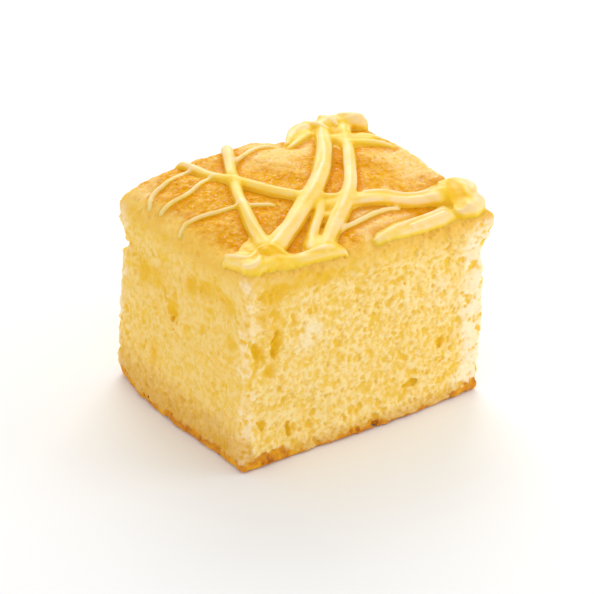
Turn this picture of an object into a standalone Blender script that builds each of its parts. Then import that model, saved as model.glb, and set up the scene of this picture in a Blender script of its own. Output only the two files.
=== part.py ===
"""Lemon cake: one square-cut piece of a tray bake with lemon icing drizzled over its baked top.

X runs along the wide cut face, Y to the back and Z up, with the origin at the middle of the base.
All lengths are named in millimetres and become metres where the meshes are made.
"""
import math

import bmesh
import bpy
from mathutils import Matrix, Vector, noise

MM = 0.001

# ---- the cut block ----
WIDTH = 64.0
DEPTH = 50.0
EDGE_HEIGHT = 45.3
TOP_ROUNDING = 2.4
BASE_ROUNDING = 1.0
GRID_CUTS = 19
GRID_CROWDING = 0.28

# ---- the baked top: a dome that falls to the left-hand and front cuts ----
DOME_RISE = 4.5
DOME_REACH_LEFT = 7.0
DOME_REACH_FRONT = 14.0
WRINKLE_HEIGHT = 0.35
WRINKLE_LENGTH = 6.5
# each swelling or hollow of the crust: x, y, spread, height
CRUST_WAVES = (
    (-32.0, -25.0, 8.0, 2.0),
    (-32.0, 25.0, 5.0, -0.6),
    (20.0, -25.0, 8.0, -1.0),
    (4.0, 18.0, 7.0, 0.9),
    (-20.0, 9.0, 5.0, 0.6),
    (-24.0, -5.0, 4.5, 0.5),
    (21.0, 5.0, 6.0, 0.7),
    (8.0, -18.5, 5.0, 0.6),
    (-7.0, 13.0, 4.0, -0.7),
    (22.0, -7.5, 5.0, -0.9),
    (-3.0, 3.5, 3.5, -0.6),
    (-16.0, 17.5, 3.5, -0.6),
    (11.0, 3.4, 3.0, -0.5),
    (-24.0, -12.0, 3.0, -0.6),
)

# ---- the cut faces ----
LIP = 0.45
LIP_HEIGHT = 39.5
UNDERCUT = 0.5
UNDERCUT_HEIGHT = 35.5
FOOT = 0.35
FOOT_HEIGHT = 2.0
BAND_SOFTNESS = 1.6
COARSE_RELIEF = 0.55
COARSE_LENGTH = 13.0
FINE_RELIEF = 0.35
FINE_LENGTH = 4.5
# how far each face swells: place along the face, height, spread along, spread up, swelling
SWELLS = {
    "left": (
        (2.0, 0.0, 14.0, 13.0, 2.0), (-25.0, 0.0, 8.0, 8.0, 0.6), (25.0, 14.0, 5.0, 8.0, 0.4),
        (25.0, 30.0, 5.0, 4.0, -0.7),
    ),
    "front": (
        (6.0, 0.0, 24.0, 11.0, 0.9), (8.0, 0.0, 5.0, 5.0, 0.8), (-32.0, 0.0, 8.0, 8.0, 0.6),
        (32.0, 41.0, 6.0, 3.0, 0.7), (32.0, 15.0, 6.0, 8.0, 0.6),
    ),
    "right": ((-25.0, 24.0, 8.0, 22.0, 1.2), (-25.0, 41.0, 6.0, 3.0, 1.2), (8.0, 20.0, 12.0, 12.0, 0.6)),
    "back": ((-32.0, 15.0, 6.0, 8.0, 0.4), (10.0, 24.0, 16.0, 12.0, 0.8)),
}
SIDE_SEEDS = {"left": 1.7, "front": 9.3, "right": 17.9, "back": 26.1}

# ---- tears and large bubbles: face, along it, height, half width, half height, depth, tilt ----
TEARS = (
    ("left", 4.8, 27.4, 1.0, 5.2, 2.0, 46.0),
    ("left", 9.0, 12.2, 0.8, 2.7, 1.6, 4.0),
    ("left", -11.0, 38.2, 1.1, 1.4, 1.1, 0.0),
    ("left", 25.2, 33.6, 3.6, 1.3, 4.0, 6.0),
    ("front", -24.9, 28.2, 0.95, 3.7, 2.4, -6.0),
    ("front", -29.4, 27.0, 0.9, 3.9, 2.0, 40.0),
    ("front", -26.2, 22.2, 0.9, 1.4, 1.6, 0.0),
    ("front", -20.6, 6.9, 1.2, 1.7, 1.8, -15.0),
    ("front", -28.4, 9.8, 0.9, 1.2, 1.4, 20.0),
    ("front", -10.8, 5.2, 1.2, 1.1, 1.3, 0.0),
    ("front", 12.8, 8.0, 2.2, 1.3, 1.4, 10.0),
    ("front", 21.1, 15.9, 0.8, 1.1, 1.6, 0.0),
    ("right", 6.0, 25.0, 1.0, 3.0, 1.8, 25.0),
    ("right", -9.0, 11.0, 1.3, 1.5, 1.5, 0.0),
    ("back", 14.0, 29.0, 0.9, 2.8, 1.8, -20.0),
    ("back", -9.0, 13.0, 1.5, 1.3, 1.5, 0.0),
)

# ---- icing strands as piped: x, y, radius; their height follows the baked top ----
STRANDS = {
    "from_back_left": (
        (-16.6, 25.2, 0.9), (-15.2, 19.6, 1.2), (-14.2, 12.2, 1.35), (-12.0, 7.2, 1.55),
        (-9.6, 2.8, 1.75), (-6.6, -1.8, 1.8), (-3.6, -5.0, 1.5),
    ),
    "from_back_middle": (
        (-3.0, 25.6, 1.3), (-7.4, 18.0, 1.3), (-11.5, 10.6, 1.35), (-15.7, 2.8, 1.4),
        (-18.4, -4.2, 1.5), (-20.2, -10.5, 1.7), (-22.2, -16.6, 1.8),
    ),
    "broad_diagonal": (
        (22.8, 24.0, 1.8), (16.5, 14.6, 1.7), (11.7, 7.6, 1.75), (6.7, 2.4, 1.85), (1.2, -2.0, 1.8),
        (-3.6, -5.4, 1.75), (-8.2, -10.2, 1.8), (-13.4, -13.2, 2.0), (-19.8, -16.2, 2.2),
        (-26.4, -20.6, 2.0),
    ),
    "long_diagonal": (
        (27.2, 21.4, 1.5), (21.0, 11.8, 1.4), (14.5, 2.4, 1.35), (9.6, -4.4, 1.4), (5.2, -9.4, 1.45),
        (0.2, -13.6, 1.35), (-5.2, -18.6, 1.4), (-9.4, -22.4, 1.4),
    ),
    "between_diagonals": (
        (1.4, -3.6, 0.7), (-3.2, -8.8, 0.8), (-6.8, -12.7, 0.85), (-9.7, -16.2, 0.9),
        (-12.4, -21.0, 1.0),
    ),
    "cross_link": ((-4.8, -10.6, 0.6), (-2.7, -12.0, 0.7), (1.6, -12.2, 0.7)),
    "to_right_upper": (
        (4.8, -8.6, 1.1), (11.3, -9.4, 1.3), (16.0, -11.4, 1.4), (21.0, -14.4, 1.4), (25.5, -15.4, 1.6),
        (30.0, -15.6, 1.6),
    ),
    "to_right_lower": ((3.6, -10.6, 1.1), (10.5, -12.4, 1.3), (17.0, -15.2, 1.3), (24.0, -17.0, 1.4)),
    "stroke_far_edge": ((2.0, -23.2, 0.4), (10.0, -21.2, 0.8), (17.5, -19.6, 1.1), (24.4, -18.8, 1.3)),
    "stroke_middle": ((2.6, -23.6, 0.4), (9.0, -23.2, 0.9), (16.0, -22.0, 1.2), (24.0, -21.6, 1.3)),
    "stroke_near_edge": ((3.4, -24.0, 0.4), (9.5, -24.7, 0.8), (15.5, -24.5, 1.1), (22.4, -24.3, 1.2)),
    "front_corner_bead": (
        (-31.2, -13.6, 0.7), (-31.5, -18.2, 1.2), (-30.8, -21.6, 1.6), (-28.6, -23.6, 1.8),
        (-25.2, -24.2, 1.8), (-21.0, -23.8, 1.7), (-16.8, -23.6, 1.6), (-12.4, -23.8, 1.5),
        (-7.2, -24.2, 1.0),
    ),
    "back_edge_bead": (
        (11.8, 23.2, 0.8), (16.2, 24.6, 1.8), (20.6, 25.0, 2.2), (25.4, 24.6, 2.3), (29.4, 23.0, 2.2),
        (32.2, 19.6, 1.9),
    ),
    "right_edge_streak": ((22.6, 15.4, 0.9), (27.0, 15.2, 1.2), (29.8, 11.8, 1.1), (30.8, 7.6, 0.6)),
    "thread_left_1": ((-29.8, 14.6, 0.4), (-26.8, 18.0, 0.55), (-22.4, 20.2, 0.6), (-17.6, 20.6, 0.4)),
    "thread_left_2": ((-30.2, 10.2, 0.4), (-26.4, 11.0, 0.6), (-22.6, 11.2, 0.6), (-16.6, 13.6, 0.4)),
    "thread_left_3": ((-31.4, 0.6, 0.4), (-29.2, 2.2, 0.5), (-25.6, 1.4, 0.5), (-19.0, -0.4, 0.4)),
}
RING_SPACING = 2.9
THIN_STRAND = 0.8      # a strand no thicker than this radius has fewer sides
RIDE_HEIGHT = 0.35     # how far a strand's centre lies above the crust, as a share of its radius
END_SINK = 1.1         # how far its ends dip into the crust, as a share of the radius

# ---- pools and lumps of icing: x, y, half width, half depth, half height, centre above the crust ----
POOLS = (
    (-25.0, -19.6, 5.2, 4.4, 1.7, 0.3),
    (-28.0, -22.2, 3.0, 2.4, 1.8, 0.3),
    (25.6, 21.8, 5.0, 3.0, 1.9, 0.5),
    (31.6, 20.8, 2.6, 2.8, 2.3, 1.4),
    (15.5, -21.9, 10.0, 2.8, 1.2, 0.1),
    (31.4, -15.8, 3.3, 3.6, 2.8, 2.1),
    (28.6, -17.2, 3.2, 2.6, 2.0, 0.8),
    (30.4, -20.0, 3.0, 2.8, 2.1, 1.2),
    (33.0, -18.6, 2.0, 2.8, 2.2, 0.9),
)
POOL_RINGS = 7
POOL_SEGMENTS = 12
POOL_DENTS = 0.22      # how uneven a pool is, as a share of its size
DENT_LENGTH = 2.4


def hill(distance, spread):
    """A smooth hill of height 1."""
    return math.exp(-0.5 * (distance / spread) ** 2)


def step(value, middle):
    """A soft step from 0 to 1 around a height."""
    return 0.5 + 0.5 * math.tanh((value - middle) / BAND_SOFTNESS)


def top_rise(x, y):
    """How far the baked top stands above the edge height."""
    from_left = max(x + WIDTH / 2, 0.0)
    from_front = max(y + DEPTH / 2, 0.0)
    rise = DOME_RISE * (1.0 - math.exp(-from_left / DOME_REACH_LEFT))
    rise *= 1.0 - math.exp(-((from_front / DOME_REACH_FRONT) ** 2))
    for centre_x, centre_y, spread, height in CRUST_WAVES:
        rise += height * hill(math.hypot(x - centre_x, y - centre_y), spread)
    wrinkle = noise.noise(Vector((x / WRINKLE_LENGTH, y / WRINKLE_LENGTH, 4.4)))
    return rise + WRINKLE_HEIGHT * wrinkle


def face_swell(side, along, z):
    """How far a cut face stands out from the flat cut."""
    swell = LIP * step(z, LIP_HEIGHT)
    swell -= UNDERCUT * hill(z - UNDERCUT_HEIGHT, BAND_SOFTNESS)
    swell += FOOT * hill(z, FOOT_HEIGHT)
    for centre, height, spread, spread_up, amount in SWELLS[side]:
        swell += amount * hill(along - centre, spread) * hill(z - height, spread_up)
    seed = SIDE_SEEDS[side]
    coarse = noise.noise(Vector((along / COARSE_LENGTH, z / COARSE_LENGTH, seed)))
    fine = noise.noise(Vector((along / FINE_LENGTH, z / FINE_LENGTH, seed + 3.0)))
    return swell + COARSE_RELIEF * coarse + FINE_RELIEF * fine


def crowd(value):
    """Moves a grid line from an even place, -1 to 1, towards the nearer edge."""
    return value * (1.0 + GRID_CROWDING - GRID_CROWDING * value * value)


def rounded_block_point(u, v, w):
    """The point of the round-edged block for a point of the cube from -1 to 1."""
    half = Vector((WIDTH, DEPTH, EDGE_HEIGHT)) / 2
    point = Vector((crowd(u) * half.x, crowd(v) * half.y, crowd(w) * half.z))
    radius = TOP_ROUNDING if w > 0 else BASE_ROUNDING
    core = Vector([max(-(h - radius), min(h - radius, c)) for c, h in zip(point, half)])
    away = point - core
    if away.length > 0:
        point = core + away.normalized() * radius
    point.z += half.z
    return point


def cake_point(u, v, w):
    """The point of the cake: the block, swollen on its cut faces and domed on top."""
    x, y, z = rounded_block_point(u, v, w)
    side_x = "right" if x > 0 else "left"
    side_y = "back" if y > 0 else "front"
    share_x = x / (WIDTH / 2)
    share_y = y / (DEPTH / 2)
    swollen_x = x + math.copysign(share_x ** 4, x) * face_swell(side_x, y, z)
    swollen_y = y + math.copysign(share_y ** 4, y) * face_swell(side_y, x, z)
    lifted_z = z + top_rise(x, y) * (z / EDGE_HEIGHT) ** 4
    return Vector((swollen_x, swollen_y, lifted_z)) * MM


def make_object(name, bm, collection, material):
    """Turns a bmesh into a smooth-shaded object with one material."""
    mesh = bpy.data.meshes.new(name)
    bm.to_mesh(mesh)
    bm.free()
    mesh.materials.append(material)
    mesh.shade_smooth()
    obj = bpy.data.objects.new(name, mesh)
    collection.objects.link(obj)
    return obj


def make_cake(collection, material):
    """The cake itself: a cube cut into a grid, then shaped point by point, with a flat base."""
    bm = bmesh.new()
    bmesh.ops.create_cube(bm, size=2.0)
    bmesh.ops.subdivide_edges(bm, edges=bm.edges[:], cuts=GRID_CUTS, use_grid_fill=True)
    for vertex in bm.verts:
        vertex.co = cake_point(*vertex.co)
    base = [face for face in bm.faces if all(abs(v.co.z) < 1e-7 for v in face.verts)]
    bmesh.ops.dissolve_faces(bm, faces=base)
    bmesh.ops.triangulate(bm, faces=bm.faces[:])
    return make_object("lemon_cake", bm, collection, material)


def crust_height(x, y):
    """The height of the baked top, which rounds over at the cut edges."""
    flat_x = WIDTH / 2 - TOP_ROUNDING
    flat_y = DEPTH / 2 - TOP_ROUNDING
    past = math.hypot(max(abs(x) - flat_x, 0.0), max(abs(y) - flat_y, 0.0))
    past = min(past, TOP_ROUNDING)
    drop = TOP_ROUNDING - math.sqrt(TOP_ROUNDING ** 2 - past ** 2)
    return EDGE_HEIGHT + top_rise(x, y) - drop


def catmull_rom(a, b, c, d, t):
    """The value between b and c, for t from 0 to 1, on a smooth curve that also heeds a and d."""
    slope = (c - a) * t
    bend = (2 * a - 5 * b + 4 * c - d) * t ** 2
    twist = (3 * b - a - 3 * c + d) * t ** 3
    return 0.5 * (2 * b + slope + bend + twist)


def smooth_route(points):
    """A smooth curve through the route's points, with about RING_SPACING between its rings."""
    ends = [points[0]] + list(points) + [points[-1]]
    rings = []
    for before, start, end, after in zip(ends, ends[1:], ends[2:], ends[3:]):
        steps = max(1, round(math.dist(start[:2], end[:2]) / RING_SPACING))
        for index in range(steps):
            values = zip(before, start, end, after)
            rings.append([catmull_rom(a, b, c, d, index / steps) for a, b, c, d in values])
    rings.append(list(points[-1]))
    return rings


def make_strand(name, route, collection, material):
    """A strand of icing: a bevelled curve lying on the crust, turned into a closed mesh."""
    rings = smooth_route(route)
    curve = bpy.data.curves.new(name, "CURVE")
    curve.dimensions = "3D"
    curve.bevel_depth = MM
    curve.bevel_resolution = 1 if max(ring[2] for ring in rings) <= THIN_STRAND else 2
    curve.use_fill_caps = True
    spline = curve.splines.new("POLY")
    spline.points.add(len(rings) - 1)
    for index, (x, y, radius) in enumerate(rings):
        share = -END_SINK if index in (0, len(rings) - 1) else RIDE_HEIGHT
        spline.points[index].co = (x * MM, y * MM, (crust_height(x, y) + share * radius) * MM, 1.0)
        spline.points[index].radius = radius
    tube = bpy.data.objects.new(name + "_curve", curve)
    bpy.context.scene.collection.objects.link(tube)
    evaluated = tube.evaluated_get(bpy.context.evaluated_depsgraph_get())
    mesh = bpy.data.meshes.new_from_object(evaluated)
    bm = bmesh.new()
    bm.from_mesh(mesh)
    bmesh.ops.remove_doubles(bm, verts=bm.verts[:], dist=1e-6)
    bmesh.ops.triangulate(bm, faces=bm.faces[:])
    strand = make_object(name, bm, collection, material)
    strand.matrix_world = tube.matrix_world
    bpy.data.objects.remove(tube)
    bpy.data.meshes.remove(mesh)
    return strand


def make_pool(index, pool, collection, material):
    """A pool or lump of icing: a flattened, dented sphere."""
    x, y, half_width, half_depth, half_height, above = pool
    centre = Vector((x, y, crust_height(x, y) + above))
    bm = bmesh.new()
    bmesh.ops.create_uvsphere(bm, u_segments=POOL_SEGMENTS, v_segments=POOL_RINGS, radius=1.0)
    for vertex in bm.verts:
        offset = vertex.co * Vector((half_width, half_depth, half_height))
        dent = 1.0 + POOL_DENTS * noise.noise((centre + offset) / DENT_LENGTH)
        vertex.co = (centre + offset * dent) * MM
    bmesh.ops.triangulate(bm, faces=bm.faces[:])
    return make_object("icing_pool_%d" % index, bm, collection, material)


def make_tear(index, tear, collection, material):
    """A cutter for a tear or bubble: a stretched sphere set into a cut face.

    Seen from outside the face, a positive tilt leans the top of the tear to the left.
    """
    side, along, height, half_along, half_up, depth, tilt = tear
    turn, place = {
        "left": (180.0, (-WIDTH / 2, along, height)),
        "front": (-90.0, (along, -DEPTH / 2, height)),
        "right": (0.0, (WIDTH / 2, along, height)),
        "back": (90.0, (along, DEPTH / 2, height)),
    }[side]
    matrix = Matrix.Translation(Vector(place) * MM)
    matrix @= Matrix.Rotation(math.radians(turn), 4, "Z") @ Matrix.Rotation(math.radians(tilt), 4, "X")
    matrix @= Matrix.Diagonal(Vector((depth, half_along, half_up, 1.0))) @ Matrix.Scale(MM, 4)
    bm = bmesh.new()
    bmesh.ops.create_icosphere(bm, subdivisions=2, radius=1.0, matrix=matrix)
    cutter = make_object("tear_%02d" % index, bm, collection, material)
    cutter.hide_render = True
    cutter.display_type = "WIRE"
    return cutter


def boolean(obj, name, operation, collection):
    """A Boolean of an object with a whole collection."""
    modifier = obj.modifiers.new(name, "BOOLEAN")
    modifier.operation = operation
    modifier.operand_type = "COLLECTION"
    modifier.collection = collection
    modifier.solver = "EXACT"
    modifier.material_mode = "TRANSFER"
    return modifier


def apply_modifiers(obj):
    """Replaces the object's mesh with what its modifiers make of it."""
    evaluated = obj.evaluated_get(bpy.context.evaluated_depsgraph_get())
    mesh = bpy.data.meshes.new_from_object(evaluated)
    obj.modifiers.clear()
    obj.data = mesh


def keep_main_body(obj):
    """Drops loose scraps and the walls of sealed hollows, which are separate shells."""
    bm = bmesh.new()
    bm.from_mesh(obj.data)
    bm.verts.ensure_lookup_table()
    unseen = set(bm.verts)
    shells = []
    while unseen:
        shell = set()
        front = [unseen.pop()]
        while front:
            vertex = front.pop()
            shell.add(vertex)
            near = [edge.other_vert(vertex) for edge in vertex.link_edges]
            fresh = [other for other in near if other in unseen]
            unseen.difference_update(fresh)
            front.extend(fresh)
        shells.append(shell)
    main = max(shells, key=len)
    bmesh.ops.delete(bm, geom=[v for v in bm.verts if v not in main], context="VERTS")
    bm.to_mesh(obj.data)
    bm.free()


def centre_on_base(obj):
    """Moves the mesh so that the origin is the middle of its box, at the base."""
    corners = [Vector(corner) for corner in obj.bound_box]
    middle_x = (min(c.x for c in corners) + max(c.x for c in corners)) / 2
    middle_y = (min(c.y for c in corners) + max(c.y for c in corners)) / 2
    obj.data.transform(Matrix.Translation((-middle_x, -middle_y, 0.0)))


def make_material(name, colour, roughness):
    """A plain material with the part's own colour."""
    material = bpy.data.materials.new(name)
    material.use_nodes = True
    shader = material.node_tree.nodes["Principled BSDF"]
    shader.inputs["Base Color"].default_value = (*colour, 1.0)
    shader.inputs["Roughness"].default_value = roughness
    shader.inputs["Metallic"].default_value = 0.0
    return material


def clear_scene():
    """Removes whatever the scene holds before the cake is made."""
    for obj in list(bpy.data.objects):
        bpy.data.objects.remove(obj)


def make_collection(name):
    """A collection linked to the scene."""
    collection = bpy.data.collections.new(name)
    bpy.context.scene.collection.children.link(collection)
    return collection


def main():
    """Makes the cake, cuts its tears and fuses the icing to it."""
    clear_scene()
    cake_parts = make_collection("lemon_cake")
    cutters = make_collection("cutters")
    icing = make_collection("icing")
    sponge = make_material("sponge", (0.90, 0.68, 0.26), 0.85)
    glaze = make_material("lemon_icing", (0.95, 0.76, 0.28), 0.35)
    cake = make_cake(cake_parts, sponge)
    for index, tear in enumerate(TEARS):
        make_tear(index, tear, cutters, sponge)
    boolean(cake, "tears", "DIFFERENCE", cutters)
    apply_modifiers(cake)
    for name, route in STRANDS.items():
        make_strand(name, route, icing, glaze)
    for index, pool in enumerate(POOLS):
        make_pool(index, pool, icing, glaze)
    boolean(cake, "icing", "UNION", icing)
    apply_modifiers(cake)
    for obj in list(icing.objects) + list(cutters.objects):
        bpy.data.objects.remove(obj)
    keep_main_body(cake)
    centre_on_base(cake)


main()
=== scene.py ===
"""The looks of the lemon cake: its crumb, baked crust, browned base and lemon icing.

Lengths are named in millimetres, in the cut block's own frame: X along the wide cut face, Y to the back
and Z up, with the origin at the middle of the block's base. They become metres in the row frame where
the meshes are made. Each piece is the surface of a field of distances, which are negative inside it.
"""
import math

import bpy
import numpy as np
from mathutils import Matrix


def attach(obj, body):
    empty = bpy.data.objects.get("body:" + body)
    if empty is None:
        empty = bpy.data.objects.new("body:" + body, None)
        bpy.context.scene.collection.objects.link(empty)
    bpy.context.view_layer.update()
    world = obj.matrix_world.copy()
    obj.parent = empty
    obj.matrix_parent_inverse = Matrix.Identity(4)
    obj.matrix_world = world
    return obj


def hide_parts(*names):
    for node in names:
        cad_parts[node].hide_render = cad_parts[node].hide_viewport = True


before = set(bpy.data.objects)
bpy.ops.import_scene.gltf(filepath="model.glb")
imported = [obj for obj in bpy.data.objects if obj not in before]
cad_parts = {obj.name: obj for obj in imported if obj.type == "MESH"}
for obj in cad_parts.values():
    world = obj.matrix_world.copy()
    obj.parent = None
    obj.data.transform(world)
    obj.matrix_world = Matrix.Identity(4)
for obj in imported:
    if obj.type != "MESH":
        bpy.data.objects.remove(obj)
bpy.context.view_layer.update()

import openvdb
from mathutils import Euler, Matrix, Vector, noise
from mathutils.kdtree import KDTree

MM = 0.001
BLOCK_MIDDLE = (-0.281, -0.242)      # the block's middle in the row frame

# ---- the cut block, as in the solid ----
WIDTH = 64.0
DEPTH = 50.0
EDGE_HEIGHT = 45.3
TOP_ROUNDING = 2.4
CORNER_ROUNDING = 1.0
BASE_ROUNDING = 1.0

# ---- the baked top ----
DOME_RISE = 4.5
DOME_REACH_LEFT = 7.0
DOME_REACH_FRONT = 14.0
DOME_FADE = 4                        # the power with which the doming fades from the top to the base
UNDOMING_ROUNDS = 12
UNDOMING_FLOOR = -2.0
WRINKLE_HEIGHT = 0.35
WRINKLE_LENGTH = 6.5
# each swelling or hollow of the crust: x, y, spread, height
CRUST_WAVES = (
    (-32, -25, 8, 2), (-32, 25, 5, -0.6), (20, -25, 8, -1), (4, 18, 7, 0.9), (-20, 9, 5, 0.6),
    (-24, -5, 4.5, 0.5), (21, 5, 6, 0.7), (8, -18.5, 5, 0.6), (-7, 13, 4, -0.7), (22, -7.5, 5, -0.9),
    (-3, 3.5, 3.5, -0.6), (-16, 17.5, 3.5, -0.6), (11, 3.4, 3, -0.5), (-24, -12, 3, -0.6),
    (10.5, 26, 4.5, -1.9), (32, -25, 5, 0.6), (-32, 22, 4, 0.5),
)
# where the crust is paler (below 0) or more golden, partly from its baking and partly painted shade beside
# the icing and painted highlight on its domes: x, y, spread, strength
BAKE_AND_SHADE_SPOTS = (
    (-20.4, 8.4, 4, 0.9), (-24.5, -5.7, 4.5, 0.8), (-22, -12, 4, 0.9), (-11.5, -7.4, 4.5, 0.8),
    (-13.5, -17.2, 3, 0.9), (16.3, 10.9, 2.5, 0.8), (7.6, -1.4, 2.5, 0.6), (-3.2, -20.5, 3, 0.7),
    (20.6, -17.3, 2.5, 0.5), (8.6, 9.2, 3, 0.5), (-6, 7, 3.5, 0.8), (-2.5, 3.5, 3, 0.5),
    (4.4, 15.8, 5.5, -1), (29.3, 0.8, 5, -1), (7, -20.6, 5, -1.8), (-31.3, 19.5, 4, -0.7),
    (33, -5, 4, -0.8), (12, 18, 4, -0.5), (18.8, -1.3, 3, 0.5), (23, -12, 3.5, -0.1), (-33, 4.4, 3, -0.6),
    (12.1, 3.5, 2.5, 0.6),
)

# ---- the cut faces ----
LIP = 0.45
LIP_HEIGHT = 39.5
UNDERCUT = 0.5
UNDERCUT_HEIGHT = 35.5
FOOT = 0.35
FOOT_HEIGHT = 2.0
BAND_SOFTNESS = 1.6
COARSE_RELIEF = 0.55
COARSE_LENGTH = 13.0
FINE_RELIEF = 0.35
FINE_LENGTH = 4.5
FINE_SEED_SHIFT = 3.0
# each face's way out, the way along it, and the turn of the X axis to its way out
FACES = {
    "left": (Vector((-1, 0, 0)), Vector((0, 1, 0)), 180.0),
    "front": (Vector((0, -1, 0)), Vector((1, 0, 0)), -90.0),
    "right": (Vector((1, 0, 0)), Vector((0, 1, 0)), 0.0),
    "back": (Vector((0, 1, 0)), Vector((1, 0, 0)), 90.0),
}
# how far each face swells: place along the face, height, spread along, spread up, swelling
SWELLS = {
    "left": (
        (2, 0, 14, 13, 2), (-25, 0, 8, 8, 0.6), (25, 14, 5, 8, 0.4), (25, 28, 5, 2.5, -0.2),
        (25, 36.6, 5, 2.2, 0.35), (25, 31, 4, 1.4, 0.3), (25, 45, 6, 4, -0.7), (25, 0, 4, 1.8, -1),
    ),
    "front": (
        (6, 0, 24, 11, 0.9), (8, 0, 5, 5, 0.8), (-32, 0, 8, 8, 0.6), (32, 41, 6, 3, 0.7),
        (32, 15, 6, 8, 0.6),
    ),
    "right": ((-25, 24, 8, 22, 1.2), (-25, 42, 6, 2.6, 0.7), (-25, 33, 8, 4, -0.7), (8, 20, 12, 12, 0.6)),
    "back": ((-32, 15, 6, 8, 0.4), (10, 24, 16, 12, 0.8)),
}
# tears and large bubbles: face, along it, height, half width, half height, depth, tilt
TEARS = (
    ("left", 2.6, 25.6, 1.1, 2.4, 0.9, 30), ("left", 6.4, 29.2, 0.7, 3.2, 0.6, 50),
    ("left", 9.6, 12.8, 0.9, 2.4, 0.45, 4), ("left", -11, 38.2, 0.9, 1.4, 0.7, 0),
    ("left", 24.6, 33.3, 3.2, 1.1, 3.2, 30), ("front", -24.9, 28.2, 0.85, 3.6, 1.4, -6),
    ("front", -29.2, 27.4, 0.9, 3.5, 1.3, 36), ("front", -26.2, 22.2, 0.9, 1.3, 0.9, 0),
    ("front", -20.6, 6.9, 1, 1.6, 0.8, -15), ("front", -28.4, 9.8, 0.9, 1.2, 0.7, 20),
    ("front", -10.8, 5.2, 1.2, 0.9, 0.5, 0), ("front", 12.8, 8, 2, 0.9, 0.6, 10),
    ("front", 21.1, 15.9, 1, 1.2, 0.7, 0), ("right", 6, 25, 0.8, 3, 1.6, 25),
    ("right", -9, 11, 1.1, 1.5, 1.4, 0), ("back", 14, 29, 0.8, 2.8, 1.6, -20),
    ("back", -9, 13, 1.5, 1, 1.4, 0),
)
TEAR_SOFTNESS = 0.35
TEAR_BUBBLES = 2.2                   # bubbles in a tear, for each half width that its half length holds
TEAR_ENDS = 0.92                     # where its last bubbles lie, as a share of its half length
TEAR_TAPER = 0.75
TEAR_WANDER = 0.8
TEAR_WIDTHS = (0.55, 1.3)
TEAR_DEPTHS = (0.75, 1.05)
TEAR_TURN = 0.4
# golden hollows of the cut faces, their gold partly painted shade, and pale swellings (below 0): place along
# the face, height, spread along, spread up, strength
GOLDEN_SPOTS = {
    "left": (
        (15.1, 30.6, 1.7, 2.6, 1), (9.3, 13.2, 0.8, 2.8, 0.9), (-3.5, 35.4, 1.1, 1.6, 0.8),
        (-7.6, 36.8, 1, 1.2, 0.7), (-17.8, 35.2, 1.3, 1.6, 0.7), (-19.1, 28.4, 1.2, 2, 0.8),
        (2.6, 26.4, 1.4, 2.4, 1), (9.5, 31, 2.4, 2.4, 0.5), (-3.3, 7, 0.6, 0.8, 0.8),
        (14.5, 12, 1.2, 3, 0.5), (21, 33.5, 2.5, 2, 0.6), (-12, 38.5, 2, 1.8, 0.5),
        (-2, 33.6, 3, 1.6, 0.45), (-9, 35.2, 4, 1.6, 0.55), (-16, 37, 3, 1.6, 0.5), (8, 32, 4, 2, 0.35),
        (20.6, 4.6, 2.4, 1.6, 0.4),
    ),
    "front": (
        (-24.9, 28.4, 0.9, 3.4, 0.9), (-29, 27.4, 1.3, 2.4, 0.9), (-26, 22.4, 1, 1.4, 0.9),
        (-28.4, 35, 1.4, 1.2, 0.5), (-20.6, 6.9, 1.4, 1.4, 0.8), (-28.6, 10.2, 1.2, 1.2, 0.7),
        (12.6, 8, 1.8, 1, 0.6), (21.1, 15.9, 1, 1, 1), (-25.5, 40.5, 2.6, 1.6, 0.7), (-12, 41, 3, 1.4, 0.5),
        (14, 32, 2.4, 1.6, 0.4), (18, 20, 2, 2.4, 0.4), (-26, 37, 2.4, 4, 0.5), (-19.6, 41.5, 5, 1.8, 0.5),
        (-5, 40.6, 8, 1.4, 0.4), (-15.2, 29.6, 3, 2.8, -0.6), (-18.6, 26.2, 2, 1.6, -0.4),
        (-18.6, 37.4, 1.6, 1.2, -0.4), (-31, 38.6, 0.8, 1.2, -0.3), (-31, 34, 0.8, 1.6, -0.6),
        (-30.6, 23.6, 0.9, 2.2, -0.5), (-31.2, 12, 0.9, 4, -0.4), (9, 29, 3, 2, -0.4),
        (20, 28.6, 4, 5, -0.5),
    ),
    "right": ((6, 25, 1, 2.6, 0.9), (-9, 11, 1.4, 1.4, 0.7), (14, 36, 2.4, 1.6, 0.6)),
    "back": ((14, 29, 1, 2.4, 0.9), (-9, 13, 1.6, 1, 0.7), (-18, 33, 2.4, 1.8, 0.6)),
}
SPOT_DEPTH = 0.35

# ---- the crumb's fine surface ----
VOXEL = 0.25
BLOCK_LOW = (-36.0, -28.5, -1.0)
BLOCK_HIGH = (36.5, 28.5, 53.5)
# the seeds of the noises and of the random draws
SEEDS = {
    "left": 1.7, "front": 9.3, "right": 17.9, "back": 26.1, "wrinkles": 4.4, "base": 2.2, "layer": 8.8,
    "grain": 3, "clots": 4, "crust_grain": 5, "crust_lumps": 7,
    "pores": 11, "pits": 23, "tears": 31, "chips": 37,
}
SPLINE_SPREAD = 0.33                 # the spread of unit noise after the spline has smoothed it
GRAIN_LENGTH = 0.55
GRAIN_HEIGHT = 0.075
CLOT_LENGTH = 1.5
CLOT_HEIGHT = 0.09
BAKED_GRAIN = 0.5                    # how much lower the grain is on the baked top, as a share
BAKED_CLOTS = 0.7
CRUST_GRAIN_LENGTH = 0.8
CRUST_GRAIN_HEIGHT = 0.06
CRUST_LUMP_LENGTH = 3.0
CRUST_LUMP_HEIGHT = 0.12
PORE_SOFTNESS = 0.24
LOWEST_PORE = 2.0
PORE_HEIGHTS = (1.0, EDGE_HEIGHT + 1.0)
SMALL_BIAS = 1.5                     # above 1, small pores and chips are the more frequent
LOBE_SPREAD = 0.9
LOBE_SIZES = (0.65, 1.1)
LOBE_TURN = 0.6
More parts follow.
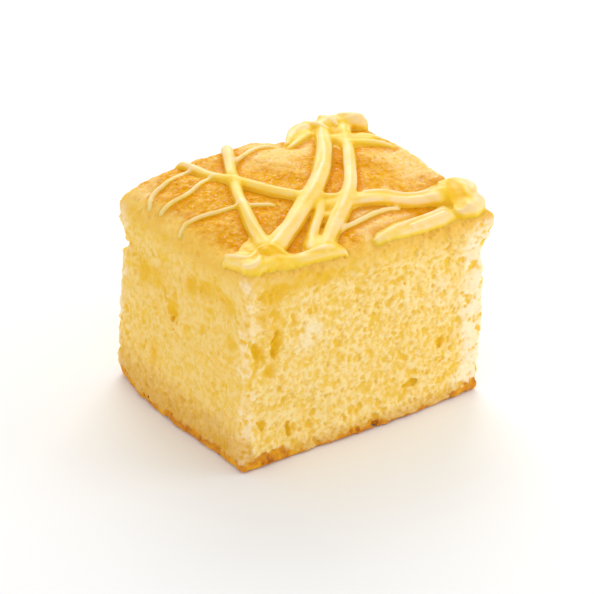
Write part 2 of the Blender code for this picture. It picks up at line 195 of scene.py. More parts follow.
# pores: number in a square millimetre, least and greatest radius, how much taller than wide, how far
# outside the face their middle lies, at least and at most, as shares of the radius, and lobes
PORE_KINDS = {
    "bubbles": (0.030, 0.55, 0.90, 1.1, 0.1, 0.45, 3),
    "hollows": (0.18, 0.40, 0.75, 1.1, 0.15, 0.55, 3),
    "holes": (0.26, 0.28, 0.46, 1.1, 0.1, 0.55, 2),
    "pinholes": (0.30, 0.22, 0.30, 1.1, 0.1, 0.5, 1),
}
PORE_SHARE = {"left": 0.5, "front": 1.0, "right": 1.0, "back": 1.0}
DENSE_BELOW_CRUST = 3.5
DENSE_SHARE = 0.7                    # the share of the pores that stay there
CRUST_PITS = (0.12, 0.16, 0.28)      # number in a square millimetre, least and greatest radius
PIT_DEPTHS = (-0.3, 0.5)
PIT_STRETCH = (0.8, 1.5)
PIT_TURN = 0.5
EDGE_CHIPS = (0.8, 0.5, 1.6)         # number on a millimetre of upright edge, least and greatest radius
CHIP_HEIGHTS = (LOWEST_PORE, EDGE_HEIGHT - 2.0)
CHIP_SLIDE = 1.0
CHIP_DEPTHS = (0.7, 0.95)
CHIP_STRETCH = (0.7, 1.2)
CHIP_TURN = 1.5
# upright edges painted paler, a painted glow of light through the thin crumb: x, y, how far it reaches,
# strength
EDGE_GLOW_SPOTS = (
    (-32, -25, 5, 0.62), (31, -27, 9, 1.15), (-32, 25, 6.5, 0.75), (32, 25, 6, 0.7),
)

# ---- the layers that the baked cake is split in ----
CRUST_LAYER = 3.2                    # how thick the top layer is
CRUST_UNEVEN = 0.35
CRUST_UNEVEN_LENGTH = 3.1
BASE_THICKNESS = 1.6
BASE_LEAST = 0.5
BASE_UNEVEN = 0.9
BASE_UNEVEN_LENGTH = 3.7
# where the browned base reaches higher or lower: x, y, spread, height
BASE_WAVES = (
    (-26, -25, 4, 1.6), (30, -25, 3, 1.4), (12, -25, 6, -0.8), (-32, 22, 4, 1.2), (-32, -6, 7, 0.4),
    (22, -25, 3, -0.9), (-16, -25, 4, -1), (-4, -25, 4, 0.2),
)
LAYER_OVERLAP = 1.2                  # how far each layer runs on past the line where it meets its neighbour
LAYER_DIVE = 0.12                    # how deep it dives under its neighbour there
DIVE_START = 0.2
LOWEST_CRUMB = 0.3
PRESSED_FACE = (2.0, 1.5)            # how far inside the left cut it starts, and how far it fades in
PRESSED_BROWNING_AND_SHADE = 1.7               # how much higher the darkening towards the base, partly browning and partly painted shade, reaches up the pressed left face

# ---- icing strands as piped: x, y, radius ----
STRANDS = {
    "from_back_left": (
        (-16.6, 25.2, 0.9), (-15.2, 19.6, 1.2), (-14.2, 12.2, 1.35), (-12, 7.2, 1.5), (-9.6, 2.8, 1.65),
        (-6.6, -1.8, 1.6), (-3.6, -5, 1.4),
    ),
    "from_back_middle": (
        (-3, 25.6, 1.3), (-7.4, 18, 1.3), (-11.5, 10.6, 1.3), (-15.7, 2.8, 1.3), (-18.4, -4.2, 1.35),
        (-20.2, -9.5, 1.5), (-21.4, -14.2, 1.7), (-22.6, -17.4, 1.7),
    ),
    "broad_diagonal": (
        (24, 25, 1.7), (19.6, 19.4, 1.8), (14, 11.2, 1.85), (9.5, 5.4, 1.9), (4.5, 0.2, 2), (0, -3.8, 2.1),
        (-4.7, -7.1, 2), (-8.8, -10.2, 1.95), (-12.7, -13.1, 1.95), (-16.3, -15.2, 2.1),
        (-20.5, -17.9, 2.3), (-25, -20.6, 2),
    ),
    "long_diagonal": (
        (28, 22.6, 1.5), (24.6, 17.4, 1.45), (18.7, 8.5, 1.4), (13.3, 0.6, 1.4), (8.6, -5.5, 1.45),
        (4.4, -9.8, 1.75), (1, -12.7, 1.75), (-2.9, -15.7, 1.7), (-6.6, -18.5, 1.7), (-9.8, -21.1, 1.6),
        (-12.3, -23.1, 1.3),
    ),
    "between_diagonals": (
        (-0.3, -5.6, 0.9), (-2.5, -9, 1.05), (-4.2, -11.4, 1.05), (-6.9, -14, 1.05), (-9.7, -16.8, 1.15),
        (-11.9, -19.5, 1.25), (-13.9, -22, 1.1),
    ),
    "web": ((-0.8, -5.8, 0.9), (1.6, -7, 0.95), (4.2, -8.2, 1), (6.2, -8.4, 1.1)),
    "cross_link": ((-4.3, -12.1, 0.65), (-2.6, -12.8, 0.6), (-0.4, -12.9, 0.7)),
    "to_right_upper": (
        (5, -9.8, 1.1), (9.5, -10.7, 1.25), (12.9, -11.3, 1.3), (16, -12.7, 1.25), (19.6, -13.9, 1.2),
        (23.4, -14.8, 1.3), (26.8, -15, 1.4),
    ),
    "to_right_lower": (
        (4.4, -11.2, 1.2), (8.4, -12.1, 1.4), (12, -12.9, 1.4), (15.8, -14.2, 1.4), (19.6, -15.3, 1.4),
        (23.4, -16.2, 1.5), (26.6, -17, 1.5),
    ),
    "stroke_far_edge": (
        (1.6, -23.6, 0.35), (5, -22.9, 0.6), (9, -21.9, 0.75), (14, -21, 0.85), (18.6, -20.4, 0.95),
        (24.2, -19.8, 1),
    ),
    "stroke_middle": (
        (4, -23.8, 0.4), (9, -22.9, 0.6), (14, -22.1, 0.75), (18.6, -21.7, 0.85), (24.4, -21.1, 0.9),
    ),
    "stroke_near_edge": (
        (2, -24.1, 0.35), (7, -23.9, 0.55), (12, -23.6, 0.7), (17, -23.2, 0.75), (23.8, -22.5, 0.8),
    ),
    "corner_lobe": (
        (-31.2, -15.8, 0.9), (-31.4, -17.6, 1.1), (-31.2, -20, 1.1), (-30.6, -22.2, 1), (-29.6, -23.8, 0.9),
    ),
    "corner_wing": (
        (-24.8, -22.8, 1), (-21.6, -23, 1), (-18, -23.2, 1), (-14, -23.5, 0.9), (-10.4, -23.8, 0.8),
        (-6.4, -24.2, 0.4),
    ),
    "back_edge_bead": (
        (14.6, 23.6, 1.8), (17.6, 24.4, 2.7), (19.6, 25, 3.2), (21.4, 25.2, 3.3), (23.4, 24.8, 2.7),
        (25.4, 24.6, 2.7), (27, 23.8, 2.2), (28.4, 23, 2.4),
    ),
    "back_lump": ((28.4, 21.6, 2.2), (30.4, 20.6, 2.8), (30.9, 19.2, 2.3)),
    "back_leaf": ((9.2, 19.4, 0.5), (11.6, 20.8, 1.2), (14.4, 22.8, 2), (17.6, 24, 2.3)),
    "back_leaf_low": ((8.5, 17.2, 0.4), (11.3, 18.5, 0.7), (14.4, 19.8, 0.85), (17.6, 21, 0.9)),
    "right_stroke_upper": ((21, 16.4, 0.9), (24.6, 14.4, 1), (28, 12.2, 0.9), (29.8, 9.4, 0.5)),
    "right_stroke_lower": (
        (19.8, 12.6, 0.9), (22.6, 10.6, 1.2), (25.4, 8.4, 1.3), (27.6, 6.4, 1), (29, 4.6, 0.4),
    ),
}
# the thin threads that join them
THREADS = {
    "thread_left_1": (
        (-30.8, 14, 0.25), (-29.6, 16, 0.34), (-26.8, 17.8, 0.39), (-22.8, 18.9, 0.37), (-18.4, 19.9, 0.33),
        (-15.6, 20.2, 0.33),
    ),
    "thread_left_2": (
        (-30.4, 10.2, 0.25), (-26.9, 10.7, 0.37), (-23.6, 10.5, 0.37), (-17.6, 12.9, 0.29),
        (-14.6, 13.4, 0.29),
    ),
    "thread_left_3": (
        (-31.4, 1.1, 0.25), (-29.8, 2.1, 0.34), (-26.4, 1.1, 0.34), (-21.6, -0.5, 0.33), (-17.4, -1, 0.29),
    ),
    "thread_middle": ((-17.2, -1.9, 0.29), (-14.2, -2.8, 0.37), (-11.1, -4.1, 0.29)),
    "thread_back": ((-6.4, 17.8, 0.29), (0.4, 19.9, 0.37), (5.6, 20.1, 0.25)),
    "thread_front": ((-3.1, -17.6, 0.29), (2.8, -16.7, 0.39), (9.2, -15.8, 0.37), (14.1, -15.6, 0.29)),
    "thread_right": ((20.5, -12.4, 0.29), (27.2, -13.4, 0.33)),
    "thread_far": ((12.3, 22.4, 0.29), (17.9, 23.1, 0.33)),
}
RIDE_HEIGHT = 0.3
END_SINK = 1.1
RING_SPACING = 0.8
# ridges pressed up on the icing, and grooves drawn in it: x, y, radius
RIDGES = {
    "corner_fold_left": (
        (-31.2, -15.8, 0.5), (-31.2, -17.8, 0.6), (-30.8, -19.8, 0.65), (-29.8, -20.9, 0.65),
        (-28.2, -20.5, 0.65), (-26, -18.9, 0.6),
    ),
    "corner_fold_front": (
        (-31.8, -23.2, 0.45), (-31, -23.9, 0.55), (-29.3, -23.7, 0.6), (-27.2, -21.8, 0.5),
    ),
    "wing_rim": (
        (-25.2, -18.9, 0.5), (-23.2, -19.6, 0.6), (-21.3, -20.8, 0.6), (-19, -21.7, 0.6),
        (-16.4, -22.4, 0.55), (-12.8, -22.9, 0.5), (-9.5, -23.1, 0.4),
    ),
    "blob_rim": (
        (28.4, -12.6, 0.4), (31.2, -12.6, 0.5), (33.8, -14.2, 0.6), (34.2, -17, 0.6), (32.6, -19.4, 0.5),
    ),
    "stroke_light": ((9, -22.4, 0.4), (13.6, -21.6, 0.5), (18.4, -21, 0.6), (22.6, -20.7, 0.6)),
    "stroke_light_low": ((12, -23.3, 0.4), (17, -22.7, 0.5), (22.2, -22, 0.5)),
    "back_peak_left": ((19.2, 25.6, 0.5), (20.4, 22.6, 0.7), (21.2, 19.8, 0.4)),
    "back_peak_middle": ((23.6, 25.4, 0.7), (24.4, 22.8, 0.7), (24.6, 20.6, 0.4)),
    "back_peak_right": ((27.8, 23.6, 0.5), (29.6, 21.8, 0.6), (31.2, 19.6, 0.5)),
    "band_crest": (
        (9, -10.4, 0.5), (12.9, -10.9, 0.6), (16, -12.3, 0.6), (19.6, -13.5, 0.55), (23.4, -14.4, 0.5),
    ),
}
GROOVES = {
    "blob_valley": (
        (30.4, -14.4, 1.4), (29.6, -16.4, 2.1), (28.6, -18.4, 2.4), (27.2, -20.6, 2), (25.8, -22.4, 1.4),
    ),
}
RIDGE_BLEND = 0.6
RIDGE_SINK = 0.35                    # how deep a ridge's middle lies, as a share of its radius
GROOVE_LIFT = 0.72                   # how high a groove's middle lies, as a share of its radius
ROUTE_SMOOTHING = 5                  # rings over which the height of a ridge or groove is evened out
# pools and lumps of icing: x, y, half width, half depth, half height, centre above the crust
POOLS = (
    (-25.8, -21.4, 5, 3.3, 1.15, 0), (-29.6, -19.6, 2.5, 3.7, 1.15, 0.1), (-28.4, -23.2, 3.2, 1.7, 1, 0),
    (-22.9, -16.2, 3.2, 2.8, 0.9, 0), (-16.5, -23.2, 7.5, 1.5, 0.8, 0), (-10.2, -20.2, 3.4, 2.4, 1.3, 0),
    (1.8, -8.8, 3, 2, 0.7, 0.1), (23.4, 23.2, 5, 2.2, 2.1, 0.6), (22.6, 20, 3.2, 2.6, 1.2, 0.1),
    (20, 15.6, 2.6, 1.6, 1.1, 0.3), (15.2, 21.4, 3.4, 1.6, 1, 0.3), (24.2, 12.2, 5, 2.8, 1.3, 0.1),
    (14.6, -22.2, 8.8, 2.1, 1, 0.2), (31.2, -16.2, 4.2, 4.8, 2.1, 1), (27, -15.6, 4.2, 3.2, 1.7, 0.6),
    (31.4, -20.4, 2.8, 2.8, 1.7, 0.9), (33.2, -18.4, 2.2, 2.6, 1.7, 1), (28.8, -20, 3, 3.2, 1.3, 0.3),
    (28.6, -23.1, 3.2, 2.4, 1.8, 0.6),
)
POOL_REACH = 1.3                     # the part of the field that a pool can change, as a share of its radius
POOL_DENTS = 0.2
DENT_LENGTH = 2.4
# a strand's filaments: place across it and above it, and thickness, as shares of its radius
FILAMENTS = ((0.0, -0.05, 0.84), (-0.50, 0.16, 0.50), (0.48, 0.14, 0.50), (-0.06, 0.50, 0.36))
FILAMENT_WANDER = 0.12
FILAMENT_LENGTH = 9.0
FILAMENT_BLEND = 0.34
FILAMENT_PHASE = (3.1, 7.7)          # how far the noise moves on from strand to strand, and between filaments
WANDER_SEED = 0.5
LIFT_SEED = 5.5
STRAND_BLEND = 0.9
MELT_REACH = 0.2                     # over how far the thick icing's creases are averaged away
MELT_WITHIN = 2.0                    # greater distances count as this in that average
WETTING = 0.9                        # how softly the icing's foot runs out on the crust
WETTING_DEPTH = 0.14
ICING_VOXEL = 0.2
ICING_LOW = (-36.0, -28.5, 40.0)
ICING_SKIN = 1.0                     # how deep the icing's hidden underside lies in the cake
FAR = 9.0                            # a distance that stands for no icing
CREST_REACH = 1.0
CREST_DEPTH = 1.0
THREAD_PALENESS = 0.2                # how much paler the thin threads are
THREAD_WIDTH = (0.9, 0.3)            # how far from a thread's middle that ends, and over what distance
# where the icing is paler (above 0) or a deeper yellow, partly painted highlight on its lumps and rims and
# painted shade in its valleys: x, y, spread, how much
ICING_TONES = (
    (-13, 8, 8, -0.09), (-16, -4, 5, -0.06), (-24.4, -21.2, 1.9, -0.36), (17, -21.2, 6, 0.12),
    (29.6, -15, 1.7, -0.3), (28.8, -17.6, 2, -0.34), (27.6, -20.6, 1.6, -0.3), (32.8, -16.6, 2, 0.2),
    (31.2, -21.8, 2, 0.16), (30.5, 19.5, 1.8, 0.06), (24, 12.5, 3, -0.14), (12, 19, 2.5, -0.08),
    (22.5, 18, 1.3, -0.25),
)
ICING_SHADOW_SHIFT = (0.3, 0.6, 0.2)         # moves the painted shadow beside the icing to its near side, where it shows
ICING_SHADOW_LOWEST = ICING_LOW[2] + 1.0     # no painted shadow is put below this height

BEYOND = 3.0                         # the distance all round a field's edges
CELL_MARGIN = 1.001                  # keeps a place inside the last cell of an axis
PIECE_TRIANGLES = {"crumb": 192000, "top_crust": 120000, "base_crust": 50000, "icing": 150000}

# ---- camera and lights ----
CAMERA_PLACE = (-243.303, -318.328, 229.525)
CAMERA_TARGET = (-0.5604, 0.0165, 22.0198)
CAMERA_ROLL = 0.04013
LENS = 121.2
# soft square lights: name, place, size, power
LIGHTS = (
    ("key", (170, 290, 300), 320, 0.95),
    ("side", (160, -130, 95), 130, 0.11),
    ("fill", (-320, -160, 160), 340, 0.22),
)
LIGHTS_AIM = (0, 0, 25)
SURROUND = 0.77
FLOOR_GREY = 0.93
FLOOR_SIZE = 3000
FLOOR_DROP = 0.2                     # how far the floor lies under the cake


# ================================ fields ================================

def make_axes(low, high, voxel):
    """The voxel places along the three axes."""
    return [np.arange(a, b, voxel, dtype=np.float32) for a, b in zip(low, high)]


def spread_out(axes):
    """The three axes, shaped so that they combine into a field."""
    x, y, z = axes
    return x[:, None, None], y[None, :, None], z[None, None, :]


def noise_at(a, b, c):
    """Blender's smooth noise at each point of the arrays."""
    arrays = np.broadcast_arrays(a, b, c)
    points = np.stack(arrays, axis=-1).reshape(-1, 3).tolist()
    return np.array([noise.noise(point) for point in points], np.float32).reshape(arrays[0].shape)


def flat_noise(a, b, length, seed):
    """Smooth noise over two directions, with a grain of so many millimetres."""
    return noise_at(a / length, b / length, seed)


def spline_weights(places, length):
    """How much each point of a coarse lattice counts at each place, by a cubic B-spline."""
    scaled = (places - places[0]) / length + 1.0
    cell = np.floor(scaled).astype(int)
    t = scaled - cell
    weights = ((1 - t) ** 3, 3 * t ** 3 - 6 * t ** 2 + 4, -3 * t ** 3 + 3 * t ** 2 + 3 * t + 1, t ** 3)
    matrix = np.zeros((len(places), cell.max() + 3), np.float32)
    for offset, weight in enumerate(weights):
        matrix[np.arange(len(places)), cell + offset - 1] = weight / 6
    return matrix


def lattice_noise(axes, length, seed):
    """Smooth random noise over a field, of mean 0 and spread 1, with a grain of so many millimetres."""
    maps = [spline_weights(places, length) for places in axes]
    lattice = np.random.default_rng(seed).standard_normal([m.shape[1] for m in maps], np.float32)
    field = np.tensordot(maps[0], lattice, (1, 0))
    field = np.tensordot(maps[1], field, (1, 1)).transpose(1, 0, 2)
    return np.tensordot(field, maps[2], (2, 1)) / SPLINE_SPREAD


def rounded_max(a, b, radius):
    """The larger of two distances, with the corner between them rounded."""
    past = np.sqrt(np.maximum(a + radius, 0) ** 2 + np.maximum(b + radius, 0) ** 2)
    return np.minimum(np.maximum(a, b), -radius) + past


def soft_max(a, b, softness):
    """The larger of two distances, with a soft rim where they meet."""
    return np.maximum(a, b) + np.maximum(softness - np.abs(a - b), 0) ** 2 / (4 * softness)


def soft_min(a, b, softness):
    """The smaller of two distances, with a fillet where they meet."""
    return -soft_max(-a, -b, softness)


def hill(distance, spread):
    """A smooth hill of height 1."""
    return np.exp(-0.5 * (distance / spread) ** 2)


def add_hills(start, hills, x, y):
    """A value with round hills added to it, each of them x, y, spread and height."""
    for centre_x, centre_y, spread, height in hills:
        start = start + height * hill(np.hypot(x - centre_x, y - centre_y), spread)
    return start


def add_swells(start, swells, along, up):
    """A value with stretched hills added to it: along, up, spread along, spread up and height."""
    for centre, centre_up, spread, spread_up, height in swells:
        start = start + height * hill(along - centre, spread) * hill(up - centre_up, spread_up)
    return start


def step(value, middle, softness):
    """A soft step from 0 to 1."""
    return 0.5 + 0.5 * np.tanh((value - middle) / softness)


def box_blurred(field, cells):
    """A field averaged over a cube that reaches so many cells each way."""
    for axis in range(3):
        margins = [(cells + 1, cells) if a == axis else (0, 0) for a in range(3)]
        sums = np.cumsum(np.pad(field, margins, "edge"), axis, dtype=np.float64)
        count = field.shape[axis]
        upper = np.take(sums, np.arange(2 * cells + 1, 2 * cells + 1 + count), axis)
        lower = np.take(sums, np.arange(count), axis)
        field = ((upper - lower) / (2 * cells + 1)).astype(np.float32)
    return field


def value_near(values, axes, point):
    """A field's or map's value at the grid point nearest to a point."""
    index = [int(round((p - places[0]) / (places[1] - places[0]))) for p, places in zip(point, axes)]
    return float(values[tuple(min(max(i, 0), size - 1) for i, size in zip(index, values.shape))])


def sample(values, axes, points):
    """A field's or map's values at many points, blended between its grid points."""
    spacing = axes[0][1] - axes[0][0]
    low = np.array([places[0] for places in axes])
    place = (points - low) / spacing
    place = np.clip(place, 0, np.array(values.shape) - CELL_MARGIN)
    cell = place.astype(int)
    t = place - cell
    total = np.zeros(len(points), np.float32)
    for corner in np.ndindex(*[2] * values.ndim):
        share = np.prod(np.where(corner, t, 1 - t), axis=1)
        total += share * values[tuple((cell + corner).T)]
    return total


def resample(values, axes, others):
    """A field or map on other axes, blended between its grid points."""
    for axis, (places, wanted) in enumerate(zip(axes, others)):
        place = np.clip((wanted - places[0]) / (places[1] - places[0]), 0, len(places) - CELL_MARGIN)
        cell = place.astype(int)
        shape = [1] * values.ndim
        shape[axis] = len(wanted)
        t = (place - cell).reshape(shape).astype(np.float32)
        values = np.take(values, cell, axis) * (1 - t) + np.take(values, cell + 1, axis) * t
    return values


def local_part(axes, centre, reach):
    """The slices of a field within reach of a point, and the offsets from it."""
    slices = []
    offsets = []
    for places, middle in zip(axes, centre):
        first, last = np.searchsorted(places, (middle - reach, middle + reach))
        slices.append(slice(first, last))
        offsets.append(places[first:last] - middle)
    return tuple(slices), spread_out(offsets)


def is_empty(part):
    """Whether a part of a field holds no grid points."""
    return min(s.stop - s.start for s in part) <= 0


def part_around(axes, low, high):
    """The slices of a field between two corners, and the axes of that part."""
    slices = tuple(slice(*np.searchsorted(places, ends)) for places, *ends in zip(axes, low, high))
    return slices, [places[s] for places, s in zip(axes, slices)]


def ellipsoid(offsets, radii, turn):
    """The distance to a turned, stretched sphere."""
    rows = np.array(turn.transposed()) / np.array(radii)[:, None]
    scaled = [row[0] * offsets[0] + row[1] * offsets[1] + row[2] * offsets[2] for row in rows]
    return (np.sqrt(scaled[0] ** 2 + scaled[1] ** 2 + scaled[2] ** 2) - 1.0) * min(radii)


def carve(field, axes, centre, radii, turn, softness):
    """Takes a turned, stretched sphere out of a field."""
    part, offsets = local_part(axes, centre, max(radii) + softness)
    if not is_empty(part):
        field[part] = soft_max(field[part], -ellipsoid(offsets, radii, turn), softness)


# ================================ the cut block ================================

def broad_rise(x, y):
    """The baked top's broad dome, without its swellings."""
    from_left = np.maximum(x + WIDTH / 2, 0.0)
    from_front = np.maximum(y + DEPTH / 2, 0.0)
    rise = DOME_RISE * (1.0 - np.exp(-from_left / DOME_REACH_LEFT))
    return rise * (1.0 - np.exp(-((from_front / DOME_REACH_FRONT) ** 2)))


def top_rise(x, y):
    """How far the baked top stands above the edge height."""
    rise = add_hills(broad_rise(x, y), CRUST_WAVES, x, y)
    return rise + WRINKLE_HEIGHT * flat_noise(x, y, WRINKLE_LENGTH, SEEDS["wrinkles"])


def base_height(x, y):
    """How high the browned base reaches."""
    height = BASE_THICKNESS + BASE_UNEVEN * flat_noise(x, y, BASE_UNEVEN_LENGTH, SEEDS["base"])
    return np.maximum(add_hills(height, BASE_WAVES, x, y), BASE_LEAST)


def golden_spots(side, along, height):
    """How golden a cut face is at a place, from its soft hollows, partly as painted shade."""
    return add_swells(0.0, GOLDEN_SPOTS[side], along, height)


def face_swell(side, along, z):
    """How far a cut face stands out from the flat cut."""
    swell = LIP * step(z, LIP_HEIGHT, BAND_SOFTNESS)
    swell = swell - UNDERCUT * hill(z - UNDERCUT_HEIGHT, BAND_SOFTNESS)
    swell = swell + FOOT * hill(z, FOOT_HEIGHT)
    swell = add_swells(swell, SWELLS[side], along, z)
    coarse = flat_noise(along, z, COARSE_LENGTH, SEEDS[side])
    fine = flat_noise(along, z, FINE_LENGTH, SEEDS[side] + FINE_SEED_SHIFT)
    swell = swell - SPOT_DEPTH * golden_spots(side, along, z)
    return swell + COARSE_RELIEF * coarse + FINE_RELIEF * fine


def before_doming(z, rise):
    """The height that a point of the domed cake had in the flat-topped block."""
    flat = z
    for _ in range(UNDOMING_ROUNDS):
        flat = np.maximum(z - rise * (flat / EDGE_HEIGHT) ** DOME_FADE, UNDOMING_FLOOR)
    return flat


def face_map(side, along, z):
    """The swelling of a cut face over its two axes."""
    x, y = {
        "left": (-WIDTH / 2, along), "right": (WIDTH / 2, along),
        "front": (along, -DEPTH / 2), "back": (along, DEPTH / 2),
    }[side]
    rise = top_rise(x, y)[:, None]
    return face_swell(side, along[:, None], before_doming(z[None, :], rise))


def block_field(axes, top):
    """The distance to the cut block: two pairs of faces, a domed top and a flat base."""
    x, y, z = spread_out(axes)
    maps = {side: face_map(side, axes[1], axes[2]) for side in ("left", "right")}
    swell_x = np.where(x < 0, maps["left"][None], maps["right"][None])
    across = np.abs(x) - WIDTH / 2 - swell_x
    maps = {side: face_map(side, axes[0], axes[2]) for side in ("front", "back")}
    swell_y = np.where(y < 0, maps["front"][:, None], maps["back"][:, None])
    along = np.abs(y) - DEPTH / 2 - swell_y
    walls = rounded_max(across, along, CORNER_ROUNDING)
    domed = rounded_max(walls, z - top[:, :, None], TOP_ROUNDING)
    return rounded_max(domed, -z, BASE_ROUNDING).astype(np.float32)


# ================================ tears, pores, chips and pits ================================

def half_size(side):
    """How far a cut face is from the block's middle."""
    return WIDTH / 2 if side in ("left", "right") else DEPTH / 2


def half_length(side):
    """How far a cut face reaches to either side of its middle."""
    return DEPTH / 2 if side in ("left", "right") else WIDTH / 2


def face_point(side, along, height):
    """A point of a flat cut face."""
    outward, sideways, _ = FACES[side]
    return outward * half_size(side) + sideways * along + Vector((0, 0, height))


def surface_point(side, along, height, smooth, axes):
    """The point of a cut face at a place along it, found where the smooth field is nil."""
    point = face_point(side, along, height)
    return point - FACES[side][0] * value_near(smooth, axes, point)


def random_radius(rng, least, most):
    """A radius between two values, more often a small one."""
    return least * (most / least) ** (rng.random() ** SMALL_BIAS)


def random_turn(rng, most):
    """A turn of up to so many radians about each axis."""
    return Euler(rng.uniform(-most, most, 3)).to_matrix()


def carve_tears(field, axes):
    """Cuts the tears and large bubbles, each at the same place as in the solid."""
    rng = np.random.default_rng(SEEDS["tears"])
    for side, along, height, half_along, half_up, depth, tilt in TEARS:
        face_turn = Euler((0, 0, math.radians(FACES[side][2]))).to_matrix()
        face_turn = face_turn @ Matrix.Rotation(math.radians(tilt), 3, "X")
        middle = face_point(side, along, height)
        narrow, long = sorted((half_along, half_up))
        bubbles = max(3, round(TEAR_BUBBLES * long / narrow))
        for place in np.linspace(-TEAR_ENDS, TEAR_ENDS, bubbles):
            taper = math.sqrt(1 - TEAR_TAPER * place ** 2)
            aside = rng.uniform(-TEAR_WANDER, TEAR_WANDER) * narrow
            radius = narrow * rng.uniform(*TEAR_WIDTHS) * taper
            radii = (depth * taper * rng.uniform(*TEAR_DEPTHS), radius, radius)
            up, beside = (place * long, aside) if half_up > half_along else (aside, place * long)
            centre = middle + face_turn @ Vector((0.0, beside, up))
            carve(field, axes, centre, radii, face_turn @ random_turn(rng, TEAR_TURN), TEAR_SOFTNESS)


def carve_pores(field, axes, smooth):
    """Opens the crumb's pores along the four cut faces, fewer where the crumb is dense."""
    rng = np.random.default_rng(SEEDS["pores"])
    for side, side_share in PORE_SHARE.items():
        reach = half_length(side)
        for density, least, most, tallness, nearest, farthest, lobes in PORE_KINDS.values():
            for _ in range(round(density * side_share * (2 * reach) * EDGE_HEIGHT)):
                along = rng.uniform(-reach, reach)
                height = max(rng.uniform(*PORE_HEIGHTS), LOWEST_PORE)
                radius = random_radius(rng, least, most)
                out = rng.uniform(nearest, farthest) * radius
                dense = rng.random()
                shifts = rng.normal(0, LOBE_SPREAD * radius, (lobes, 2))
                shares = rng.uniform(*LOBE_SIZES, (lobes, 3))
                turns = rng.uniform(-LOBE_TURN, LOBE_TURN, (lobes, 3))
                if height > EDGE_HEIGHT - DENSE_BELOW_CRUST and dense > DENSE_SHARE:
                    continue
                for (aside, up), share, turn in zip(shifts, shares, turns):
                    centre = surface_point(side, along + aside, height + up, smooth, axes)
                    centre = centre + FACES[side][0] * out
                    radii = radius * share * np.array((1.0, 1.0, tallness))
                    carve(field, axes, centre, tuple(radii), Euler(turn).to_matrix(), PORE_SOFTNESS)


def carve_chips(field, axes, smooth):
    """Chips the upright edges of the block."""
    rng = np.random.default_rng(SEEDS["chips"])
    density, least, most = EDGE_CHIPS
    for way_x, way_y in ((-1, -1), (1, -1), (-1, 1), (1, 1)):
        outward = Vector((way_x, way_y, 0)).normalized()
        for _ in range(round(density * EDGE_HEIGHT)):
            radius = random_radius(rng, least, most)
            slide = rng.normal(0, CHIP_SLIDE)
            edge = Vector((way_x * WIDTH / 2, way_y * DEPTH / 2, rng.uniform(*CHIP_HEIGHTS)))
            edge -= Vector((way_x * max(slide, 0), way_y * max(-slide, 0), 0))
            out = rng.uniform(*CHIP_DEPTHS) * radius - value_near(smooth, axes, edge)
            radii = tuple(radius * rng.uniform(*CHIP_STRETCH, 3))
            carve(field, axes, edge + outward * out, radii, random_turn(rng, CHIP_TURN), PORE_SOFTNESS)


def carve_pits(field, axes, top):
    """Small pits in the baked top."""
    rng = np.random.default_rng(SEEDS["pits"])
    density, least, most = CRUST_PITS
    for _ in range(round(density * WIDTH * DEPTH)):
        x = rng.uniform(-WIDTH / 2, WIDTH / 2)
        y = rng.uniform(-DEPTH / 2, DEPTH / 2)
        radius = rng.uniform(least, most)
        turn = random_turn(rng, PIT_TURN)
        z = value_near(top, axes, (x, y)) + rng.uniform(*PIT_DEPTHS) * radius
        radii = (radius * rng.uniform(*PIT_STRETCH), radius * rng.uniform(*PIT_STRETCH), radius)
        carve(field, axes, (x, y, z), radii, turn, PORE_SOFTNESS)


# ================================ icing ================================

def catmull_rom(a, b, c, d, t):
    """The value between b and c, for t from 0 to 1, on a smooth curve that also heeds a and d."""
    slope = (c - a) * t
    bend = (2 * a - 5 * b + 4 * c - d) * t ** 2
    twist = (3 * b - a - 3 * c + d) * t ** 3
    return 0.5 * (2 * b + slope + bend + twist)


def smooth_route(points):
    """A smooth curve through the route's points, with about RING_SPACING between its rings."""
    ends = [points[0]] + list(points) + [points[-1]]
    rings = []
    for before, start, end, after in zip(ends, ends[1:], ends[2:], ends[3:]):
        steps = max(1, round(math.dist(start[:2], end[:2]) / RING_SPACING))
        for index in range(steps):
            values = zip(before, start, end, after)
            rings.append([catmull_rom(a, b, c, d, index / steps) for a, b, c, d in values])
    rings.append(list(points[-1]))
    return np.array(rings)


def crust_height(top, axes, x, y):
    """The height of the baked top at a place, which rounds over at the cut edges."""
    past = math.hypot(
        max(abs(x) - (WIDTH / 2 - TOP_ROUNDING), 0.0), max(abs(y) - (DEPTH / 2 - TOP_ROUNDING), 0.0)
    )
    past = min(past, TOP_ROUNDING)
    drop = TOP_ROUNDING - math.sqrt(TOP_ROUNDING ** 2 - past ** 2)
    return value_near(top, axes, (x, y)) - drop


def capsule(field, axes, start, end, radius_start, radius_end):
    """Adds a round-ended rod with a changing radius to a field of distances."""
    middle = (start + end) / 2
    reach = np.linalg.norm(end - start) / 2 + max(radius_start, radius_end) + STRAND_BLEND
    part, offsets = local_part(axes, middle, reach)
    if is_empty(part):
        return
    way = end - start
    length = max(float(way @ way), 1e-9)
    from_start = [offset + (m - s) for offset, m, s in zip(offsets, middle, start)]
    t = np.clip(sum(d * w for d, w in zip(from_start, way)) / length, 0, 1)
    away = np.sqrt(sum((d - t * w) ** 2 for d, w in zip(from_start, way)))
    distance = away - (radius_start + t * (radius_end - radius_start))
    field[part] = np.minimum(field[part], distance)


def chain(axes, points, radii, shape):
    """The distance to a chain of rods through the points."""
    field = np.full(shape, FAR, np.float32)
    for start, end, radius, next_radius in zip(points, points[1:], radii, radii[1:]):
        capsule(field, axes, start, end, radius, next_radius)
    return field


